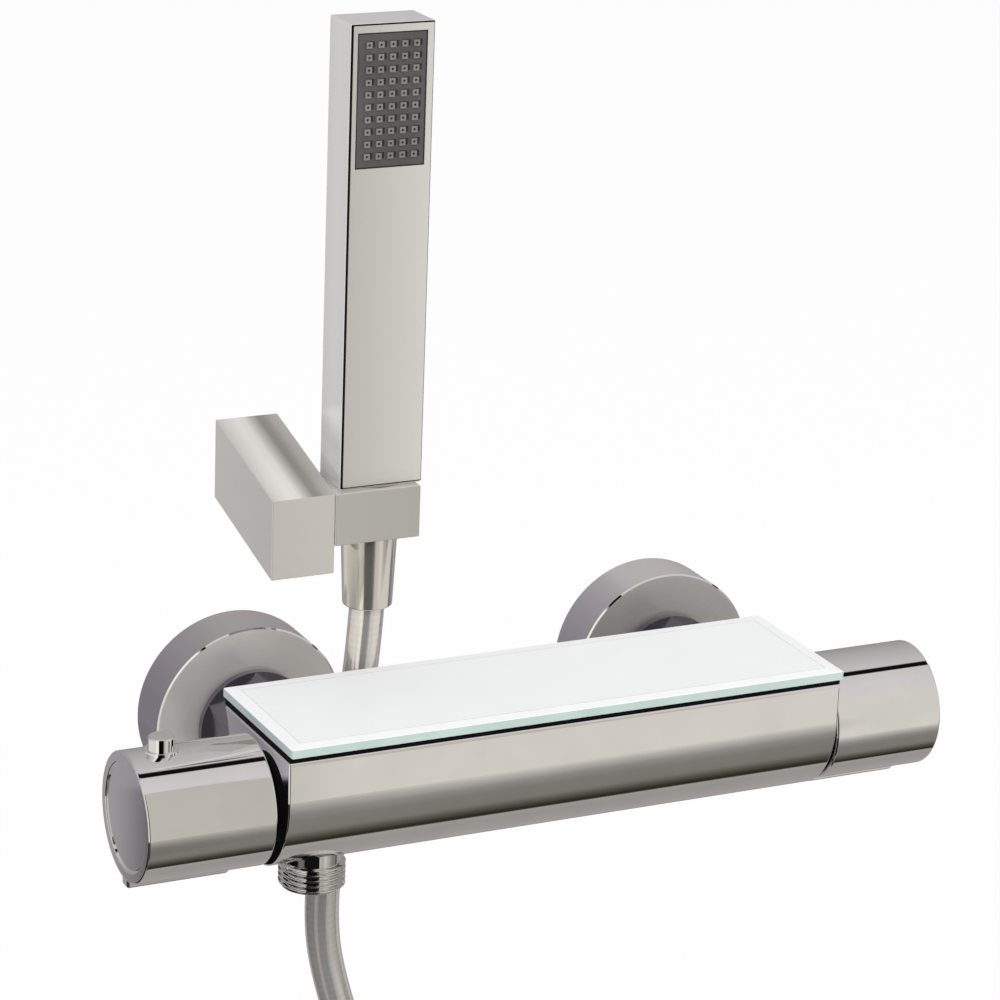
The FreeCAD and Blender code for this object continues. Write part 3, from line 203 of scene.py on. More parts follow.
def placed(name, mesh, material, body, replaces=()):
    """Object of a mesh, with its finish, on its body, in the place of the nodes it stands for."""
    piece = bpy.data.objects.new(name, mesh)
    scene.collection.objects.link(piece)
    mesh.materials.append(material)
    if replaces:
        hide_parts(*replaces)
    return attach(piece, body) if body else piece


def face_rows(mesh, key):
    """Three numbers for each face of a mesh, such as its normal."""
    values = np.empty(len(mesh.polygons) * 3)
    mesh.polygons.foreach_get(key, values)
    return values.reshape(-1, 3)


# Finishes

def colour(text):
    """Linear colour of an sRGB hex value."""
    value = np.array([int(text[k:k + 2], 16) / 255 for k in (1, 3, 5)])
    linear = np.where(value <= 0.04045, value / 12.92, ((value + 0.055) / 1.055) ** 2.4)
    return (*linear.tolist(), 1.0)


def add(tree, kind, inputs=(), stops=(), **settings):
    """New node with its settings; each input takes a value, or a link from another node's socket.

    A colour ramp also takes its stops, as (place, hex) from low to high."""
    node = tree.nodes.new(kind)
    for key, value in settings.items():
        setattr(node, key, value)
    for key, value in dict(inputs).items():
        if isinstance(value, bpy.types.NodeSocket):
            tree.links.new(value, node.inputs[key])
        else:
            node.inputs[key].default_value = value
    for place, text in stops[1:-1]:
        node.color_ramp.elements.new(place).color = colour(text)
    for end in ((0, -1) if stops else ()):
        element = node.color_ramp.elements[end]
        element.position, element.color = stops[end][0], colour(stops[end][1])
    return node


def finish(name, shader):
    """New material with a principled shader of given constant sockets; returns it, its tree and shader."""
    material = bpy.data.materials.new(name)
    material.use_nodes = True
    tree = material.node_tree
    principled = tree.nodes["Principled BSDF"]
    for key, value in shader.items():
        principled.inputs[key].default_value = value
    return material, tree, principled


def dress(tree, shader, tone, pattern, smoothest, roughest):
    """Gives a shader its colour, and a roughness that follows a pattern from smoothest to roughest."""
    tree.links.new(tone, shader.inputs["Base Color"])
    rough = add(tree, "ShaderNodeMapRange", {"Value": pattern, "To Min": smoothest, "To Max": roughest})
    tree.links.new(rough.outputs["Result"], shader.inputs["Roughness"])


def plated(name, low, high, roughness, metallic=1.0):
    """Chromium plate on brass: a mirror as sharp as its polish, with faint wipe marks in tone and gloss."""
    mark_size = 16 * MM
    material, tree, shader = finish(name, {"Metallic": metallic})
    place = add(tree, "ShaderNodeTexCoord").outputs["Object"]
    wipe = add(tree, "ShaderNodeTexNoise",
               {"Vector": place, "Scale": 1 / mark_size, "Detail": 3.0}).outputs["Fac"]
    tone = add(tree, "ShaderNodeValToRGB", {"Fac": wipe}, [(0.35, low), (0.65, high)]).outputs["Color"]
    dress(tree, shader, tone, wipe, 0.85 * roughness, 1.15 * roughness)
    return material


def spun(name, low, high, side):
    """Spun plate: rings about the nearest inlet, a face of one tone, painted side tones from left to right."""
    # real spinning marks are finer; drawn at 0.6 mm so that they show
    ring_gap, roughness = 0.6 * MM, 0.26
    material, tree, shader = finish(name, {"Metallic": 0.5})
    where = add(tree, "ShaderNodeTexCoord")
    place = add(tree, "ShaderNodeSeparateXYZ", {"Vector": where.outputs["Object"]})
    off = add(tree, "ShaderNodeMath", {0: place.outputs["X"]}, operation="ABSOLUTE")
    off = add(tree, "ShaderNodeMath", {0: off.outputs["Value"], 1: INLET_X * MM}, operation="SUBTRACT")
    away = add(tree, "ShaderNodeCombineXYZ", {"X": off.outputs["Value"], "Z": place.outputs["Z"]})
    reach = add(tree, "ShaderNodeVectorMath",
                {0: away.outputs["Vector"]}, operation="LENGTH").outputs["Value"]
    rings = add(tree, "ShaderNodeTexNoise", {"W": reach, "Scale": 1 / ring_gap, "Detail": 2.0},
                noise_dimensions="1D").outputs["Fac"]
    facing = add(tree, "ShaderNodeSeparateXYZ", {"Vector": where.outputs["Normal"]})
    across = add(tree, "ShaderNodeMapRange",
                 {"Value": facing.outputs["X"], "From Min": -1.0, "From Max": 1.0})
    front = add(tree, "ShaderNodeMapRange",
                {"Value": facing.outputs["Y"], "From Min": -0.85, "From Max": -0.95})
    # the side's tones, from left-facing to right-facing, are painted reflection and shade
    side_painted_reflection = add(tree, "ShaderNodeValToRGB", {"Fac": across.outputs["Result"]}, side).outputs["Color"]
    on_face = add(tree, "ShaderNodeValToRGB", {"Fac": rings}, [(0.35, low), (0.65, high)]).outputs["Color"]
    tone = add(tree, "ShaderNodeMix", {0: front.outputs["Result"], 6: side_painted_reflection, 7: on_face}, data_type="RGBA")
    dress(tree, shader, tone.outputs[2], rings, 0.9 * roughness, 1.1 * roughness)
    return material


def satin(name, roughness, front, left, top):
    """Satin plate: soft reflections over fine upright brushing.

    Tones by face are painted light and shade: the front's and top's run left to right, the left side's front to
    back."""
    # brushing is about 0.05 mm wide; drawn at 0.5 mm so that it shows in the picture
    stroke_width, stroke_length = 0.5 * MM, 25 * MM
    material, tree, shader = finish(name, {"Metallic": 0.4})
    where = add(tree, "ShaderNodeTexCoord")
    drawn = add(tree, "ShaderNodeMapping", {"Vector": where.outputs["Object"],
                                            "Scale": (1 / stroke_width, 1 / stroke_width, 1 / stroke_length)})
    grain = add(tree, "ShaderNodeTexNoise", {"Vector": drawn.outputs["Vector"], "Scale": 1.0, "Detail": 3.0})
    share = add(tree, "ShaderNodeSeparateXYZ", {"Vector": where.outputs["Generated"]})
    facing = add(tree, "ShaderNodeSeparateXYZ", {"Vector": where.outputs["Normal"]})
    tone = add(tree, "ShaderNodeValToRGB", {"Fac": share.outputs["X"]}, front).outputs["Color"]
    for way, low, high, along, tones in (("X", -0.6, -0.8, "Y", left), ("Z", 0.6, 0.8, "X", top)):
        there = add(tree, "ShaderNodeMapRange",
                    {"Value": facing.outputs[way], "From Min": low, "From Max": high})
        painted_light_tone = add(tree, "ShaderNodeValToRGB", {"Fac": share.outputs[along]}, tones).outputs["Color"]
        tone = add(tree, "ShaderNodeMix",
                   {0: there.outputs["Result"], 6: tone, 7: painted_light_tone}, data_type="RGBA").outputs[2]
    dress(tree, shader, tone, grain.outputs["Fac"], 0.85 * roughness, 1.15 * roughness)
    return material


def silver_hose():
    """Silvered film under clear vinyl: a smooth metallic tube with a faint winding of the film inside."""
    material, tree, shader = finish("silver_vinyl_hose", {"Metallic": 0.72, "Roughness": 0.14,
                                                          "Coat Weight": 0.2, "Coat Roughness": 0.06})
    # U goes once round the hose and V counts the film's turns
    along = add(tree, "ShaderNodeUVMap", uv_map="lengthwise").outputs["UV"]
    apart = add(tree, "ShaderNodeSeparateXYZ", {"Vector": along})
    phase = add(tree, "ShaderNodeMath", {0: apart.outputs["X"], 1: apart.outputs["Y"]}, operation="ADD")
    turns = add(tree, "ShaderNodeMath", {0: phase.outputs["Value"], 1: FULL_TURN}, operation="MULTIPLY")
    wound = add(tree, "ShaderNodeMath", {0: turns.outputs["Value"]}, operation="SINE")
    share = add(tree, "ShaderNodeMapRange",
                {"Value": wound.outputs["Value"], "From Min": -1.0, "From Max": 1.0})
    tone = add(tree, "ShaderNodeValToRGB",
               {"Fac": share.outputs["Result"]}, [(0.0, "#f0ede7"), (1.0, "#f5f2ed")])
    tree.links.new(tone.outputs["Color"], shader.inputs["Base Color"])
    return material


def moulded(name, low, high, grain_mm, roughness, bump_strength, sockets=()):
    """Moulded plastic, rubber, glass or machined metal: colour and gloss drift a little over a fine grain."""
    grain_size, drift_size, bump_height = grain_mm * MM, 14 * MM, 0.05 * MM
    material, tree, shader = finish(name, dict(sockets))
    place = add(tree, "ShaderNodeTexCoord").outputs["Object"]
    grain = add(tree, "ShaderNodeTexNoise",
                {"Vector": place, "Scale": 1 / grain_size, "Detail": 3.0}).outputs["Fac"]
    drift = add(tree, "ShaderNodeTexNoise",
                {"Vector": place, "Scale": 1 / drift_size, "Detail": 2.0}).outputs["Fac"]
    tone = add(tree, "ShaderNodeValToRGB", {"Fac": drift}, [(0.3, low), (0.7, high)]).outputs["Color"]
    dress(tree, shader, tone, grain, roughness - 0.05, roughness + 0.05)
    bump = add(tree, "ShaderNodeBump", {"Height": grain, "Strength": bump_strength, "Distance": bump_height})
    tree.links.new(bump.outputs["Normal"], shader.inputs["Normal"])
    return material


# mirror polish of the mixer's body and knobs
chrome = plated("polished_chrome", "#ebecec", "#f0f1f1", 0.025)
# the wall plates are spun and left softer than the body, in two painted copies
# the left plate's tones are painted lighter against the shade on it, the right's darker against its extra light
spun_left_painted_light = spun("spun_chrome_left_painted_light", "#e6e3df", "#e9e6e2",
                 [(0.0, "#8a848f"), (0.3, "#b4b0b2"), (0.55, "#c2bebe"), (1.0, "#c4c0be")])
spun_right_painted_shade = spun("spun_chrome_right_painted_shade", "#c0bdb9", "#c3c0bc",
                  [(0.0, "#a09aa5"), (0.3, "#cfcbcd"), (0.55, "#d4d0d0"), (1.0, "#d4d0ce")])
# the union nuts' chrome is rougher and tinted dark lavender: painted reflection of the dark gap round them
chrome_painted_dark_reflection = plated("chrome_painted_dark_reflection", "#84808a", "#908c96", 0.18, 0.85)
# the handset and its bracket are brushed: the handset closest to a mirror, with its left side painted paler as
# painted light
satin_handset = satin("satin_handset_plate", 0.16, [(0.0, "#c1bfb9"), (0.3, "#c8c6c1"), (1.0, "#d9d7d3")],
                      [(0.0, "#eeefec"), (0.5, "#f4f4f2"), (1.0, "#ecedea")],
                      [(0.0, "#e9e7e4"), (1.0, "#e3e1de")])
# the holder's front is the dullest and darkest of the three
satin_holder = satin("satin_holder_plate", 0.3, [(0.0, "#b8b6af"), (1.0, "#b3b1aa")],
                     [(0.0, "#d8d6d0"), (1.0, "#d2d0ca")], [(0.0, "#dedcd6"), (1.0, "#d8d6d0")])
# the block's top goes from a soft highlight to the shade beside the handset
satin_block = satin("satin_block_plate", 0.24, [(0.0, "#c6c3bb"), (1.0, "#cbc8c0")],
                    [(0.0, "#d2cfca"), (1.0, "#dbd9d4")],
                    [(0.0, "#d8d5cf"), (0.14, "#e9e7e2"), (0.3, "#f6f4f0"), (0.43, "#f0eee9"),
                     (0.54, "#c9c6c1"), (0.66, "#999692"), (0.73, "#9b9894"), (0.84, "#b5b2ad"),
                     (1.0, "#c7c4bf")])
# the hose's cone is warmer, and smears what it mirrors into upright stripes
satin_nut = plated("satin_hose_nut", "#f1ede6", "#f5f1ea", 0.15, 0.9)
# the hose shines through clear vinyl, with the film's windings just to be seen
hose_film = silver_hose()
# float glass painted white on its underside, with a brighter ground rim
glass_face = moulded("white_backed_glass", "#f7f9f8", "#f9fbfa", 40, 0.3, 0.0, {"IOR": 1.45})
glass_rim = moulded("ground_glass_rim", "#fcfdfd", "#feffff", 20, 0.3, 0.0, {"IOR": 1.52})
# the line where the rim's bevel begins catches less light
glass_line = moulded("glass_bevel_line", "#e2e6e5", "#e6eae9", 20, 0.3, 0.0, {"IOR": 1.45})
# the cut edge shows the glass's own green
glass_edge = moulded("cut_glass_edge", "#b2c5bf", "#bfd0ca", 6, 0.1, 0.02, {"IOR": 1.52, "Coat Weight": 0.3})
# silicone bedding, washers and the strap: dull black with a little bloom
rubber = moulded("black_rubber", "#070708", "#0d0d0f", 0.4, 0.7, 0.1, {"Specular IOR Level": 0.12})
# injection-moulded dark grey ABS with a fine spark-eroded grain
spray_plastic = moulded("grey_abs", "#4d494a", "#565253", 0.5, 0.42, 0.15)
# the same ABS painted near black: painted shadow round the spray plate's edge and beside each nozzle
dark_plastic = moulded("abs_painted_shadow", "#211e1f", "#2b2829", 0.5, 0.5, 0.1)
# soft silicone, paler and duller than the plate round it
nozzle_silicone = moulded("grey_silicone", "#767272", "#838080", 0.4, 0.55, 0.1)
# turned brass, bright where the tool left it
brass = moulded("turned_brass", "#b98f4a", "#c9a25c", 0.5, 0.3, 0.1, {"Metallic": 1.0})
# glass-filled acetal cartridge parts
acetal = moulded("white_acetal", "#d9d8d3", "#e4e3df", 0.6, 0.45, 0.1)
# bright zinc-plated screws and spring wire
steel = moulded("zinc_plated_steel", "#a9aaac", "#bcbdbf", 0.4, 0.32, 0.08, {"Metallic": 1.0})

slot_finish = {
    "chromed_brass": chrome, "satin_nickel": satin_nut, "silver_hose": hose_film, "black_rubber": rubber,
    "white_glass": glass_face, "dark_plastic": spray_plastic, "nozzle_rubber": nozzle_silicone,
    "bare_brass": brass, "white_plastic": acetal, "steel_hardware": steel,
}
node_finish = {"handset_body": satin_handset, "holder": satin_holder, "bracket_block": satin_block,
               "left_union_nut": chrome_painted_dark_reflection, "right_union_nut": chrome_painted_dark_reflection}
for entry in frame["record"]["subparts"]:
    node_slots = frame["nodes"][entry["node"]].data.materials
    node_slots.clear()
    node_slots.append(node_finish.get(entry["node"], slot_finish[entry["material_slot"]]))


# Hose: one smooth line through the part's route, its coil and its tail
HOSE_RADIUS = 5.6
HOSE_SIDES = 32
FILM_PITCH = 2.4
COIL_MIDDLE = np.array([32.0, -28.5, -189.2])
COIL_RADIUS = 64.0
COIL_TURNS = 3
COIL_POINTS = 16
COIL_PITCH = 12.0
# the spline runs inside a turn's points, so they stand this much outside the coil's radius
COIL_SPREAD = 1.0195


def hose_route():
    """Control points: down from the top fitting past the mixer, the coil's turns, and a plumb tail.

    A turn's points lie on a circle about the coil's middle, each a little further from the wall."""
    drop = [(-43.7, -37.0, 44.0), (-44.3, -36.4, 27.0), (-47.5, -35.4, -2.0), (-53.5, -33.8, -36.0),
            (-55.2, -31.5, -64.0), (-50.7, -29.4, -90.0), (-32.0, -28.5, -144.0), (-32.0, -28.5, -178.0)]
    turn = np.arange(COIL_TURNS * COIL_POINTS + 1) / COIL_POINTS
    angle = math.pi + turn * FULL_TURN
    radius = COIL_RADIUS * COIL_SPREAD
    turns = COIL_MIDDLE + np.stack([radius * np.cos(angle), -COIL_PITCH * turn,
                                    radius * np.sin(angle)], axis=1)
    tail = [(-32.0, -64.5, -212.0), (-32.0, -64.5, -245.0)]
    return np.concatenate([drop, turns, tail])


def spline_points(points):
    """Points along the NURBS spline that has the given control points."""
    curve = bpy.data.curves.new("hose_line", "CURVE")
    curve.dimensions = "3D"
    curve.resolution_u = 8
    spline = curve.splines.new("NURBS")
    spline.points.add(len(points) - 1)
    spline.points.foreach_set("co", np.column_stack([points * MM, np.ones(len(points))]).ravel())
    spline.order_u = 3
    spline.use_endpoint_u = True
    holder = bpy.data.objects.new("hose_line", curve)
    scene.collection.objects.link(holder)
    line = bpy.data.meshes.new_from_object(holder)
    path = np.empty(len(line.vertices) * 3)
    line.vertices.foreach_get("co", path)
    bpy.data.objects.remove(holder)
    bpy.data.curves.remove(curve)
    bpy.data.meshes.remove(line)
    return path.reshape(-1, 3)


def add_hose_uv(mesh, path):
    """UV map for the film: U goes once round, V counts its turns along the path."""
    lengths = np.concatenate([[0], np.cumsum(np.linalg.norm(np.diff(path, axis=0), axis=1))])
    corner = np.empty(len(mesh.loops), int)
    mesh.loops.foreach_get("vertex_index", corner)
    start, total = np.empty((2, len(mesh.polygons)), int)
    mesh.polygons.foreach_get("loop_start", start)
    mesh.polygons.foreach_get("loop_total", total)
    column, row = corner % HOSE_SIDES, corner // HOSE_SIDES
    uv = np.stack([column / HOSE_SIDES, lengths[row] / (FILM_PITCH * MM)], axis=1)
    # in the squares that close the round, the first column stands at its end
    closes = (np.maximum.reduceat(column, start) == HOSE_SIDES - 1) & (total == 4)
    uv[(column == 0) & np.repeat(closes, total), 0] = 1.0
    mesh.uv_layers.new(name="lengthwise").data.foreach_set("uv", uv.ravel())


hose_path = spline_points(hose_route())
hose_grid = round_tube(hose_path, HOSE_RADIUS, BACK, HOSE_SIDES)
hose = made("shower_hose", [hose_grid], hose_film, None, ["hose_drop", "hose_coil"])
add_hose_uv(hose.data, hose_path)
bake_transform(hose)


# Mixer body, with a stub to each inlet
BODY_FRONT = 21.9
BODY_BACK = 26.3
BODY_TOP = 19.3
BODY_SHOULDER = 6.5
BODY_BOTTOM = 22.1
BODY_EDGE = 0.6
LEDGE_BACK = 30.5
LEDGE_ROOT = 11.4
STUB_RADIUS = 10.2
STUB_START, STUB_END = 36.0, 58.0


def body_outline():
    """U of the body about its axis, across and up: a half oval, straight sides, a ledge behind the top.

    The oval is (middle + half width times cosine, shoulder + depth times sine), and its normal is the
    scaled point's."""
    angle = np.linspace(math.pi, FULL_TURN, 65)
    middle, half = (BODY_BACK - BODY_FRONT) / 2, (BODY_BACK + BODY_FRONT) / 2
    depth = BODY_BOTTOM + BODY_SHOULDER
    oval = np.stack([middle + half * np.cos(angle), BODY_SHOULDER + depth * np.sin(angle)], axis=1)
    facing = np.stack([np.cos(angle) / half, np.sin(angle) / depth], axis=1)
    facing /= np.linalg.norm(facing, axis=1)[:, None]
    top, top_facing = filleted([(BODY_BACK, BODY_SHOULDER), (BODY_BACK, LEDGE_ROOT, 2.0),
                                (LEDGE_BACK, BODY_TOP, 0.8), (-BODY_FRONT, BODY_TOP, 1.2),
                                (-BODY_FRONT, BODY_SHOULDER)])
    return np.concatenate([oval, top]), np.concatenate([facing, top_facing])


body_rows = filleted([(INWARDS, -BODY_HALF), (0, -BODY_HALF, BODY_EDGE), (0, BODY_HALF, BODY_EDGE),
                      (INWARDS, BODY_HALF)])
stub = bar(STUB_RADIUS, STUB_START, STUB_END, 0.3, 0.3)
made("mixer_body_shell", [carried(body_outline(), body_rows, AXIS, RIGHT, BACK),
                          turned(stub, -RIGHT * INLET_X, -BACK), turned(stub, RIGHT * INLET_X, -BACK)],
     chrome, "wall_set", ["mixer_body"])

# Shelf: a plate whose top is ground to a wide shallow bevel; its rows are pushed in along the corners' mitres
SHELF_MIDDLE = np.array([0.0, -72.5, 0.0])
SHELF_HALF_LENGTH, SHELF_HALF_DEPTH = 95.5, 27.8
SHELF_BOTTOM, SHELF_RIM, SHELF_TOP = 21.4, 24.25, 24.5
BEVEL_WIDTH, BEVEL_LINE, BEVEL_ROUND = 4.2, 0.4, 0.02
line_end = -BEVEL_WIDTH - BEVEL_LINE
glass_rows = filleted([(INWARDS, SHELF_BOTTOM), (0, SHELF_BOTTOM, 0.3), (0, SHELF_RIM, 0.3),
                       (-BEVEL_WIDTH, SHELF_TOP, 0.3), (line_end, SHELF_TOP),
                       (line_end + INWARDS, SHELF_TOP)])
glass_outline = oblong(SHELF_HALF_LENGTH, SHELF_HALF_DEPTH, 0.5, steps=3)
shelf = made("shelf_glass", [carried(glass_outline, glass_rows, SHELF_MIDDLE, UP, RIGHT)],
             glass_face, "wall_set", ["glass_shelf"])
for glass in (glass_rim, glass_edge, glass_line):
    shelf.data.materials.append(glass)
facing_up = np.abs(face_rows(shelf.data, "normal")[:, 2])
from_middle = np.abs(face_rows(shelf.data, "center") / MM - SHELF_MIDDLE)
inset = np.minimum(SHELF_HALF_LENGTH - from_middle[:, 0], SHELF_HALF_DEPTH - from_middle[:, 1]) - BEVEL_WIDTH
on_line = (inset > BEVEL_ROUND) & (inset < BEVEL_LINE) & (from_middle[:, 2] > SHELF_RIM)
# upright faces are the cut edge, slanting ones the ground rim
glass_slot = np.select([facing_up < 0.6, facing_up < 0.99995, on_line], [2, 1, 3], 0)
shelf.data.polygons.foreach_set("material_index", glass_slot)

# the picture's chrome mirrors neither the shelf and its bedding, nor the hose, nor the left knob's inside
unmirrored = ["shelf_pad", "hose_tie", "hose_end_ferrule", "hose_end_nut", "hose_end_washer",
              "temperature_cartridge", "temperature_cartridge_nut", "temperature_spindle",
              "temperature_knob_hub", "temperature_knob_screw"]
for piece in [shelf, hose, *(frame["nodes"][node] for node in unmirrored)]:
    piece.visible_glossy = False

# Escutcheons: a spun cup over each inlet
CUP_RADIUS = 31.9
CUP_DEPTH = 17.9
CUP_WALL = 1.4
CUP_BEVEL = 0.55
CUP_HOLE = 13.3
cup = [(CUP_HOLE, CUP_DEPTH - CUP_WALL, 0.2), (CUP_RADIUS - CUP_WALL, CUP_DEPTH - CUP_WALL, 0.5),
       (CUP_RADIUS - CUP_WALL, 0.2, 0.2), (CUP_RADIUS, 0.0, 0.3), (CUP_RADIUS, CUP_DEPTH - CUP_BEVEL, 0.15),
       (CUP_RADIUS - CUP_BEVEL, CUP_DEPTH, 0.15), (CUP_HOLE, CUP_DEPTH, 0.2)]
for word, side, plate_finish in (("left", -1, spun_left_painted_light), ("right", 1, spun_right_painted_shade)):
    grid = turned(cup, RIGHT * side * INLET_X, -BACK, closed=True, count=160)
    plate = made(word + "_escutcheon_cup", [grid], plate_finish, "wall_set", [word + "_escutcheon"])
    # its turned edge is polished
    plate.data.materials.append(chrome)
    facing_out = -face_rows(plate.data, "normal")[:, 1]
    plate.data.polygons.foreach_set("material_index", np.where((facing_out > 0.4) & (facing_out < 0.9), 1, 0))

# Outlet: a smooth neck, then the thread, with the mouth inside it
NECK_RADIUS = 9.25
NECK_START, NECK_END = 12.0, 25.0
THREAD_START, THREAD_END = 22.6, 31.2
THREAD_PITCH = 1.8
THREAD_CREST, THREAD_ROOT = 10.48, 9.3
THREAD_RUN_OUT = 0.7
# where the root begins, and how long the flank is, as shares of the way from crest to root
ROOT_SHARE, FLANK_SHARE = 0.85, 0.7
MOUTH_RADIUS, MOUTH_BORE = 9.6, 7.0
MOUTH_START, MOUTH_END = 24.5, 31.4


def outlet_thread():
    """Thread surface: the radius swells from root to crest and back once per pitch, and follows the turn.

    The swell is a smooth step up each flank, and it runs out towards both ends."""
    turn = np.arange(128) * FULL_TURN / 128
    depth = np.linspace(THREAD_START, THREAD_END, 110)[:, None]
    place = (depth - THREAD_START) / THREAD_PITCH - turn / FULL_TURN
    from_crest = np.abs((place % 1.0) * 2 - 1)
    swell = np.clip((ROOT_SHARE - from_crest) / FLANK_SHARE, 0, 1)
    swell = swell * swell * (3 - 2 * swell)
    ends = np.clip(np.minimum(depth - THREAD_START, THREAD_END - depth) / THREAD_RUN_OUT, 0, 1)
    radius = THREAD_ROOT + (THREAD_CREST - THREAD_ROOT) * swell * ends
    points = np.stack([radius * np.cos(turn), radius * np.sin(turn),
                       np.broadcast_to(-depth, radius.shape)], axis=2)
    return points + OUTLET, smooth_normals(points), False


neck = bar(NECK_RADIUS, NECK_START, NECK_END, 0.1, 0.125)
mouth = [(MOUTH_BORE, MOUTH_START, 0.1), (MOUTH_RADIUS, MOUTH_START, 0.1), (MOUTH_RADIUS, MOUTH_END, 0.5),
         (MOUTH_BORE, MOUTH_END, 0.3)]
made("outlet_stub", [turned(neck, OUTLET, -UP), outlet_thread(), turned(mouth, OUTLET, -UP, closed=True)],
     chrome, "wall_set", ["outlet_nipple"])


# Knobs, measured along the axis from the mixer's middle
KNOB_RADIUS = 20.4
KNOB_BORE = 18.4
RIM_BORE = 16.9
SEAT_BORE = 16.3
SEAT_DEPTH, SEAT_BACK = 3.7, 5.6
DISC_RADIUS, DISC_DEPTH = 16.6, 0.7
COLLAR_RADIUS, COLLAR_BORE, COLLAR_END = 14.4, 11.1, 98.0
LEFT_START, LEFT_END = 98.3, 139.6
RIGHT_START, RIGHT_END = 96.6, 135.6
LEFT_FIN_START, LEFT_FIN_END = 104.6, 139.6
RIGHT_FIN_START, RIGHT_FIN_END = 98.3, 131.8
FIN_HALF_WIDTH = 2.5
FIN_ROOT, FIN_TIP = 19.0, 22.4
FIN_SLANT = 2.5


def fin(side, start, end, slant_start, slant_end):
    """Low bar along a knob's underside, with a rounded outline carried up from its tip to inside the shell.

    Its ends lean in towards the tip by their slants."""
    middle, half = (start + end) / 2, (end - start) / 2
    rows = filleted([(INWARDS, -FIN_TIP), (-0.05, -FIN_TIP, 0.5), (0, -FIN_ROOT, 0.1), (INWARDS, -FIN_ROOT)])
    base = AXIS + RIGHT * side * middle
    points, normals, closed = carried(oblong(half, FIN_HALF_WIDTH, 0.8)[:2], rows, base, UP, RIGHT * side)
    share = np.clip((-FIN_ROOT - points[..., 2]) / (FIN_TIP - FIN_ROOT), 0, 1)
    along = (points[..., 0] - base[0]) * side
    points[..., 0] += side * share * (slant_start * (along < 0) - slant_end * (along > 0))
    return points, normals, closed


def knob(word, body, side, start, rounding, end, extra):
    """Hollow shell with a turned-in rim and extra grids, the disc in its outer end, the ring behind in black as
    painted shade.
    """
    way = RIGHT * side
    seat, back = end - SEAT_DEPTH, end - SEAT_BACK
    shell = [(KNOB_BORE, start, 0.2), (KNOB_RADIUS, start, rounding), (KNOB_RADIUS, end, 0.6),
             (RIM_BORE, end, 0.35), (RIM_BORE, seat, 0.1), (SEAT_BORE, seat, 0.1),
             (SEAT_BORE, back, 0.1), (KNOB_BORE, back, 0.2)]
    grip = made(word + "_knob_shell", [turned(shell, AXIS, way, closed=True, count=160), *extra],
                chrome, body, [word + "_knob"])
    disc = bar(DISC_RADIUS, seat, end - DISC_DEPTH, 0.1, 0.35)
    cap = made(word + "_knob_disc", [turned(disc, AXIS, way)], chrome, body, [word + "_end_cap"])
    # the stop ring behind the knob is black rubber here: painted shade of the gap between knob and body
    painted_shade_collar = [(COLLAR_BORE, BODY_HALF, 0.1), (COLLAR_RADIUS, BODY_HALF, 0.2),
              (COLLAR_RADIUS, COLLAR_END, 0.3), (COLLAR_BORE, COLLAR_END, 0.1)]
    made(word + "_collar", [turned(painted_shade_collar, AXIS, way, closed=True)], rubber, "wall_set",
         [word + "_stop_ring"])
    return grip, cap


# Safety button in the left knob: a ring round it, the button and the spring under it
RING_RADIUS, RING_BORE = 5.3, 4.1
RING_START, RING_END = 18.6, 20.9
PIN_RADIUS = 4.0
PIN_START, PIN_END = 16.6, 25.0
SPRING_RADIUS, SPRING_WIRE = 2.9, 0.35
SPRING_START, SPRING_LENGTH = 10.45, 5.7
SPRING_TURNS = 4
ring = [(RING_BORE, RING_START, 0.1), (RING_RADIUS, RING_START, 0.1), (RING_RADIUS, RING_END, 0.3),
        (RING_BORE, RING_END, 0.2)]
left_extra = [fin(-1, LEFT_FIN_START, LEFT_FIN_END, FIN_SLANT, 0),
              turned(ring, BUTTON, UP, closed=True, count=64)]
for piece in knob("temperature", "temperature_control", -1, LEFT_START, 0.6, LEFT_END, left_extra):
    piece.visible_glossy = False
right_extra = [fin(1, RIGHT_FIN_START, RIGHT_FIN_END, 0, FIN_SLANT)]
knob("flow", "flow_control", 1, RIGHT_START, 1.6, RIGHT_END, right_extra)
pin = bar(PIN_RADIUS, PIN_START, PIN_END, 0.2, 0.6)
made("press_button", [turned(pin, BUTTON, UP, count=64)], chrome, "safety_button", ["safety_button"])

# the spring is a helix that shortens as the button is pressed
share = np.linspace(0, 1, 97)
turn = SPRING_TURNS * FULL_TURN * share
height = SPRING_START + SPRING_LENGTH * share
helix = np.stack([SPRING_RADIUS * np.cos(turn), SPRING_RADIUS * np.sin(turn), height], axis=1)
wire = round_tube((BUTTON + helix) * MM, SPRING_WIRE, UP, 12)
spring = made("press_spring", [wire], steel, None, ["safety_button_spring"])
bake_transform(spring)
spring.visible_glossy = False

# Hose nut in the holder: a cone with the hose's ferrule in its foot and the handset's thread in its head
CONE_START, CONE_STEP, CONE_END = 43.3, 68.65, 84.7
CONE_FOOT, CONE_HEAD = 7.9, 9.72
CONE_FOOT_BORE, CONE_HEAD_BORE = 5.9, 6.63
cone = [(CONE_FOOT_BORE, CONE_START, 0.15), (CONE_FOOT, CONE_START, 0.5), (CONE_HEAD, CONE_END, 0.1),
        (CONE_HEAD_BORE, CONE_END, 0.1), (CONE_HEAD_BORE, CONE_STEP, 0.1), (CONE_FOOT_BORE, CONE_STEP, 0.1)]
made("hose_cone", [turned(cone, HANDSET_AXIS, UP, closed=True)], satin_nut, "handset", ["hose_top_nut"])

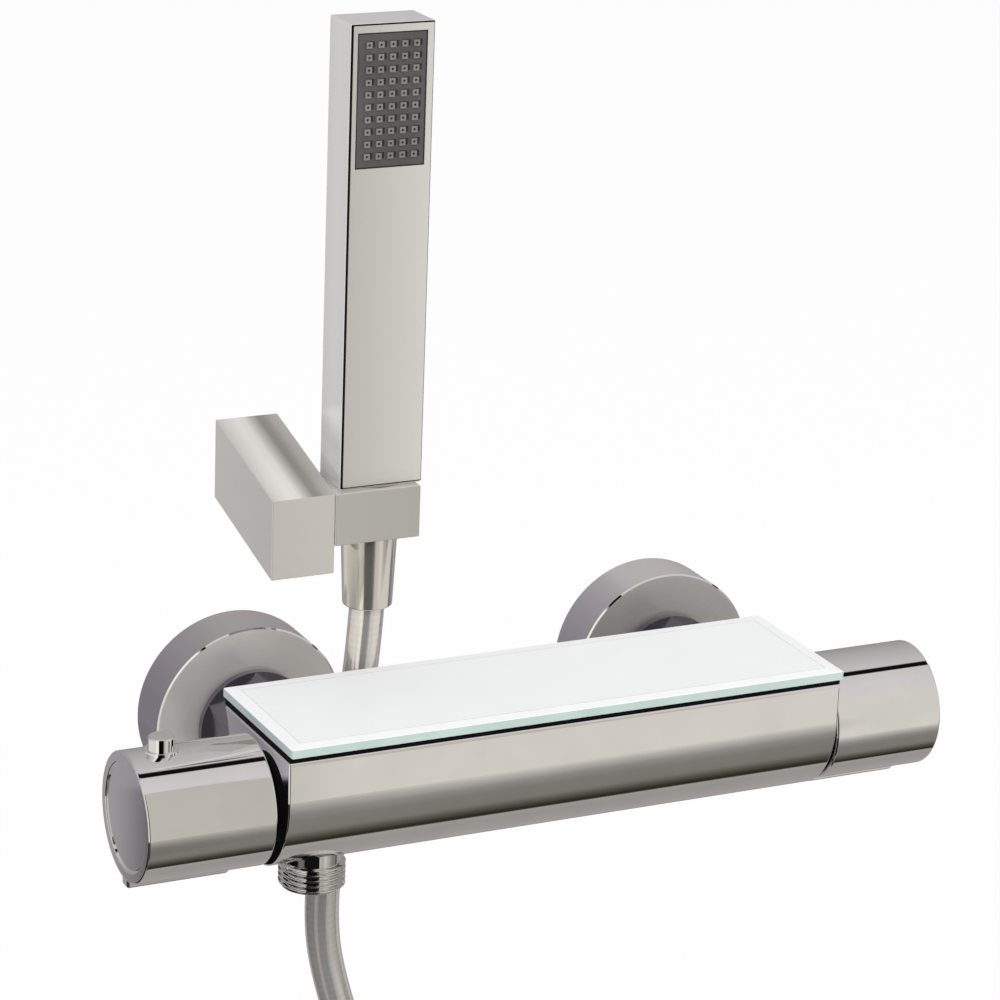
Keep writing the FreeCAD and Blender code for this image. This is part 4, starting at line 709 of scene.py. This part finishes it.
# Handset front: the seam round its face plate, a real gap drawn in black as painted shadow, wider at the left
# and top
FACE_MIDDLE = HANDSET_AXIS + np.array([0.0, -8.0, 158.0])
FACE_HALF_WIDTH, FACE_HALF_HEIGHT = 13.7, 72.85
SEAM_LEFT, SEAM_RIGHT, SEAM_TOP, SEAM_BOTTOM = -0.75, 0.03, 0.45, -0.25
SEAM_SUNK, SEAM_PROUD = -0.3, 0.04
place, out, mitre = oblong(FACE_HALF_WIDTH, FACE_HALF_HEIGHT, 0.3, steps=2)
seam_shadow_width = np.where(mitre > 0, (SEAM_RIGHT, SEAM_TOP), (SEAM_LEFT, SEAM_BOTTOM))
strip = filleted([(-1, SEAM_SUNK), (0, SEAM_SUNK), (0, SEAM_PROUD), (-1, SEAM_PROUD)], closed=True, steps=1)
seam = carried((place, out, seam_shadow_width), strip, FACE_MIDDLE, -BACK, RIGHT, closed=True)
made("face_plate_seam_shadow", [seam], rubber, "handset")

# the plate that closes its foot
FOOT_HALF_WIDTH, FOOT_HALF_DEPTH = 13.6, 7.7
FOOT_START, FOOT_END = 84.72, 85.2
foot = filleted([(INWARDS, FOOT_START), (0, FOOT_START), (0, FOOT_END), (INWARDS, FOOT_END)])
foot_outline = oblong(FOOT_HALF_WIDTH, FOOT_HALF_DEPTH, 0.4)
made("handset_foot", [carried(foot_outline, foot, HANDSET_AXIS, UP, RIGHT)], satin_handset, "handset")

# painted shadow: a dark band round the spray plate's edge, and a dark patch beside each nozzle
SPRAY_MIDDLE = np.array([-43.7, -44.8, 207.3])
SPRAY_HALF_WIDTH, SPRAY_HALF_HEIGHT = 11.5, 20.8
RIM_WIDTH, RIM_SUNK, RIM_PROUD = -0.4, -0.3, 0.05
NOZZLE_COLUMNS, NOZZLE_ROWS = 5, 10
COLUMN_GAP, ROW_GAP = 3.9, 3.8
SHADOW_LEFT, SHADOW_RIGHT, SHADOW_BOTTOM, SHADOW_TOP = 0.3, 2.0, -0.8, 1.1
SHADOW_PROUD = 0.05
rim = filleted([(RIM_WIDTH, RIM_SUNK), (0, RIM_SUNK), (0, RIM_PROUD), (RIM_WIDTH, RIM_PROUD)],
               closed=True, steps=1)
rim_outline = oblong(SPRAY_HALF_WIDTH, SPRAY_HALF_HEIGHT, 0.2, steps=2)
rim_grid = carried(rim_outline, rim, SPRAY_MIDDLE, -BACK, RIGHT, closed=True)
made("spray_rim_painted_shadow", [rim_grid], dark_plastic, "handset")
columns, rows = np.meshgrid(COLUMN_GAP * (np.arange(NOZZLE_COLUMNS) - (NOZZLE_COLUMNS - 1) / 2),
                            ROW_GAP * (np.arange(NOZZLE_ROWS) - (NOZZLE_ROWS - 1) / 2))
centres = SPRAY_MIDDLE + np.stack([columns.ravel(), np.full(columns.size, -SHADOW_PROUD), rows.ravel()], axis=1)
shadow_patch = np.array([(SHADOW_LEFT, 0.0, SHADOW_BOTTOM), (SHADOW_RIGHT, 0.0, SHADOW_BOTTOM), (SHADOW_RIGHT, 0.0, SHADOW_TOP),
                 (SHADOW_LEFT, 0.0, SHADOW_TOP)])
shadow_patch_points = ((centres[:, None] + shadow_patch) * MM).reshape(-1, 3)
nozzle_shadow_mesh = bpy.data.meshes.new("nozzle_painted_shadows")
nozzle_shadow_mesh.from_pydata(shadow_patch_points.tolist(), [], np.arange(len(shadow_patch_points)).reshape(-1, 4).tolist())
placed("nozzle_painted_shadows", nozzle_shadow_mesh, dark_plastic, "handset")


# Studio: a light tent that only reflections see, a pale floor, soft lamps and a white world
TENT_RADIUS, TENT_HALF, TENT_EDGE = 2500.0, 3000.0, 20.0
# the floor's half side and height are in metres
FLOOR_HALF, FLOOR_HEIGHT = 8.0, -0.29
# this share of white leaves the floor a faint shadow
FLOOR_WHITE = 0.94
WHITE = (1, 1, 1, 1)


def emptied(owner):
    """Node tree of a material or world, with nothing in it."""
    owner.use_nodes = True
    owner.node_tree.nodes.clear()
    return owner.node_tree


def tent_material():
    """Tent with bands by the angle round X (front 0, up a quarter) on its right, and cards by compass way.

    The cards (front 0, left minus a quarter) lie in three storeys by the slope of the way to them: below the
    horizon's edge, low and high. On the left they stand before the bands, and none reaches 54 degrees up."""
    material = bpy.data.materials.new("tent_bands")
    tree = emptied(material)
    place = add(tree, "ShaderNodeTexCoord").outputs["Object"]
    apart = add(tree, "ShaderNodeSeparateXYZ", {"Vector": place}).outputs
    front = add(tree, "ShaderNodeMath", {0: apart["Y"], 1: -1.0}, operation="MULTIPLY").outputs["Value"]
    length = add(tree, "ShaderNodeVectorMath", {0: place}, operation="LENGTH").outputs["Value"]
    slope = add(tree, "ShaderNodeMath", {0: apart["Z"], 1: length}, operation="DIVIDE").outputs["Value"]

    def by_angle(side, stops):
        angle = add(tree, "ShaderNodeMath", {0: side, 1: front}, operation="ARCTAN2").outputs["Value"]
        share = add(tree, "ShaderNodeMapRange", {"Value": angle, "From Min": -math.pi, "From Max": math.pi})
        return add(tree, "ShaderNodeValToRGB", {"Fac": share.outputs["Result"]},
                   [((degrees + 180) / 360, text) for degrees, text in stops]).outputs["Color"]

    def above(low, high, lower, upper):
        share = add(tree, "ShaderNodeMapRange",
                    {"Value": slope, "From Min": low, "From Max": high}).outputs["Result"]
        return add(tree, "ShaderNodeMix", {0: share, 6: lower, 7: upper}, data_type="RGBA").outputs[2]

    bands = by_angle(apart["Z"], [
        (-180, "#948f8d"), (-145, "#85817e"), (-130, "#9c9895"), (-90, "#92908b"), (-81, "#9a9791"),
        (-80, "#2a2720"), (-76, "#2e2b23"), (-68, "#54514a"), (-60, "#76736d"), (-45, "#7a7771"),
        (-37, "#8a8782"), (-29, "#b0ada7"), (-24, "#cfcac4"), (40, "#cdc8c2"), (62, "#cbc5c6"),
        (86, "#c4bfbf"), (87, "#0e0c0d"), (95.5, "#0e0c0d"), (96.5, "#bfbabb"), (130, "#b0aba8"),
        (180, "#948f8d")])
    ground = by_angle(apart["X"], [
        (-180, "#948f8d"), (-155.3, "#979295"), (-155.15, "#0a090a"), (-80, "#0a090a"), (-72, "#6a6668"),
        (-56, "#6a6668"), (-50, "#121112"), (3, "#121112"), (4.5, "#dddcda"), (18, "#d2d1cf"),
        (26, "#ffffff"), (180, "#ffffff")])
    middle = [(-66, "#d2cec6"), (-56, "#ece8e0"), (-44, "#ece8e0"), (-40, "#060505"), (-6, "#060505"),
              (2, "#8a8782"), (5, "#e4e3e0")]
    low_card = by_angle(apart["X"], [
        (-180, "#948f8d"), (-155.33, "#979295"), (-155.25, "#7c7883"), (-154.6, "#7c7883"), (-154.0, "#bcb6c0"),
        (-140, "#d2cec6"), *middle, (19.9, "#e4e3e0"), (20.2, "#fcfbf9"), (35.2, "#ffffff"),
        (39, "#cfccc7"), (54, "#c8c5c0"), (56, "#97918a"), (66, "#97918a"), (68, "#c8c5c0"),
        (80, "#c8c5c0"), (95, "#ffffff"), (180, "#ffffff")])
    high_card = by_angle(apart["X"], [
        (-180, "#948f8d"), (-140, "#9f9b9b"), *middle, (30, "#e4e3e0"), (31, "#ffffff"), (180, "#ffffff")])
    card = above(-0.302, -0.296, above(-0.387, -0.385, ground, low_card), high_card)
    steep = add(tree, "ShaderNodeMath", {0: slope}, operation="ABSOLUTE").outputs["Value"]
    past = add(tree, "ShaderNodeMapRange",
               {"Value": steep, "From Min": 0.805, "From Max": 0.815}).outputs["Result"]
    left = add(tree, "ShaderNodeMath", {0: apart["X"], 1: 0.0}, operation="LESS_THAN").outputs["Value"]
    behind = add(tree, "ShaderNodeMix", {0: left, 6: bands, 7: WHITE}, data_type="RGBA").outputs[2]
    carded = add(tree, "ShaderNodeMix", {0: 1.0, 6: behind, 7: card}, data_type="RGBA", blend_type="MULTIPLY")
    tint = add(tree, "ShaderNodeMix", {0: past, 6: carded.outputs[2], 7: bands}, data_type="RGBA").outputs[2]
    glow = add(tree, "ShaderNodeEmission", {"Color": tint, "Strength": 1.18})
    add(tree, "ShaderNodeOutputMaterial", {"Surface": glow.outputs["Emission"]})
    return material


def white_to_eye(tree, share, lit, white, output):
    """Shows a share of white to the camera, reflections and glass, and a lit shader for the rest."""
    path = add(tree, "ShaderNodeLightPath").outputs
    seen = path["Is Camera Ray"]
    for ray in ("Is Glossy Ray", "Is Transmission Ray"):
        seen = add(tree, "ShaderNodeMath", {0: seen, 1: path[ray]}, operation="MAXIMUM").outputs["Value"]
    seen = add(tree, "ShaderNodeMath", {0: seen, 1: share}, operation="MULTIPLY").outputs["Value"]
    mix = add(tree, "ShaderNodeMixShader", {0: seen, 1: lit.outputs[0], 2: white.outputs[0]})
    add(tree, output, {"Surface": mix.outputs["Shader"]})


tent_profile = bar(TENT_RADIUS, -TENT_HALF, TENT_HALF, TENT_EDGE, TENT_EDGE)
tent = made("light_tent", [turned(tent_profile, np.zeros(3), RIGHT)], tent_material(), None)
tent.visible_camera = tent.visible_diffuse = tent.visible_shadow = tent.visible_transmission = False

floor_mesh = bpy.data.meshes.new("floor")
floor_corners = [(x, y, FLOOR_HEIGHT) for x in (-FLOOR_HALF, FLOOR_HALF) for y in (-FLOOR_HALF, FLOOR_HALF)]
floor_mesh.from_pydata(floor_corners, [], [(0, 2, 3, 1)])
floor_paint = bpy.data.materials.new("white_floor")
floor_tree = emptied(floor_paint)
white_to_eye(floor_tree, FLOOR_WHITE,
             add(floor_tree, "ShaderNodeBsdfDiffuse", {"Color": colour("#f6f6f5")}),
             add(floor_tree, "ShaderNodeEmission", {"Color": WHITE, "Strength": 1.0}),
             "ShaderNodeOutputMaterial")
floor = placed("floor", floor_mesh, floor_paint, None)
floor.visible_glossy = False

scene.world = bpy.data.worlds.new("studio")
world_tree = emptied(scene.world)
white_to_eye(world_tree, 1.0,
             add(world_tree, "ShaderNodeBackground", {"Color": colour("#f4f4f6"), "Strength": 0.75}),
             add(world_tree, "ShaderNodeBackground", {"Color": WHITE, "Strength": 1.0}),
             "ShaderNodeOutputWorld")


def soft_lamp(name, place, size, power):
    """Square soft box at a place in metres, turned to the mixer."""
    aim = np.array([0.0, -0.05, 0.05])
    lamp = bpy.data.lights.new(name, "AREA")
    lamp.size, lamp.energy = size, power
    box = bpy.data.objects.new(name, lamp)
    way = np.array(place) - aim
    way /= np.linalg.norm(way)
    across = np.cross(UP, way)
    across /= np.linalg.norm(across)
    box.matrix_world = Matrix(np.column_stack([across, np.cross(way, across), way]).tolist()).to_4x4()
    box.location = place
    box.visible_glossy = False
    scene.collection.objects.link(box)


soft_lamp("key_box", (-0.9, -1.5, 1.6), 1.2, 22)
soft_lamp("fill_box", (1.5, -1.3, 0.9), 1.4, 9)

# Camera at the photograph's angle
CAMERA_AIM = np.array([-4.56, -50.0, 77.34])
CAMERA_DISTANCE = 1207.75
azimuth, elevation, roll = np.radians([-26.38, 18.34, 2.19])
flat_reach = math.cos(elevation)
back = np.array([math.sin(azimuth) * flat_reach, -math.cos(azimuth) * flat_reach, math.sin(elevation)])
level = np.array([math.cos(azimuth), math.sin(azimuth), 0.0])
upright = np.cross(back, level)
across = level * math.cos(roll) + upright * math.sin(roll)
lens = bpy.data.cameras.new("camera")
lens.sensor_width = lens.sensor_height = 36
lens.lens = 137.88
lens.clip_start, lens.clip_end = 0.05, 50
camera = bpy.data.objects.new("camera", lens)
camera.matrix_world = Matrix(np.column_stack([across, np.cross(back, across), back]).tolist()).to_4x4()
camera.location = (CAMERA_AIM + back * CAMERA_DISTANCE) * MM
scene.collection.objects.link(camera)
scene.camera = camera
scene.view_settings.view_transform = "Standard"
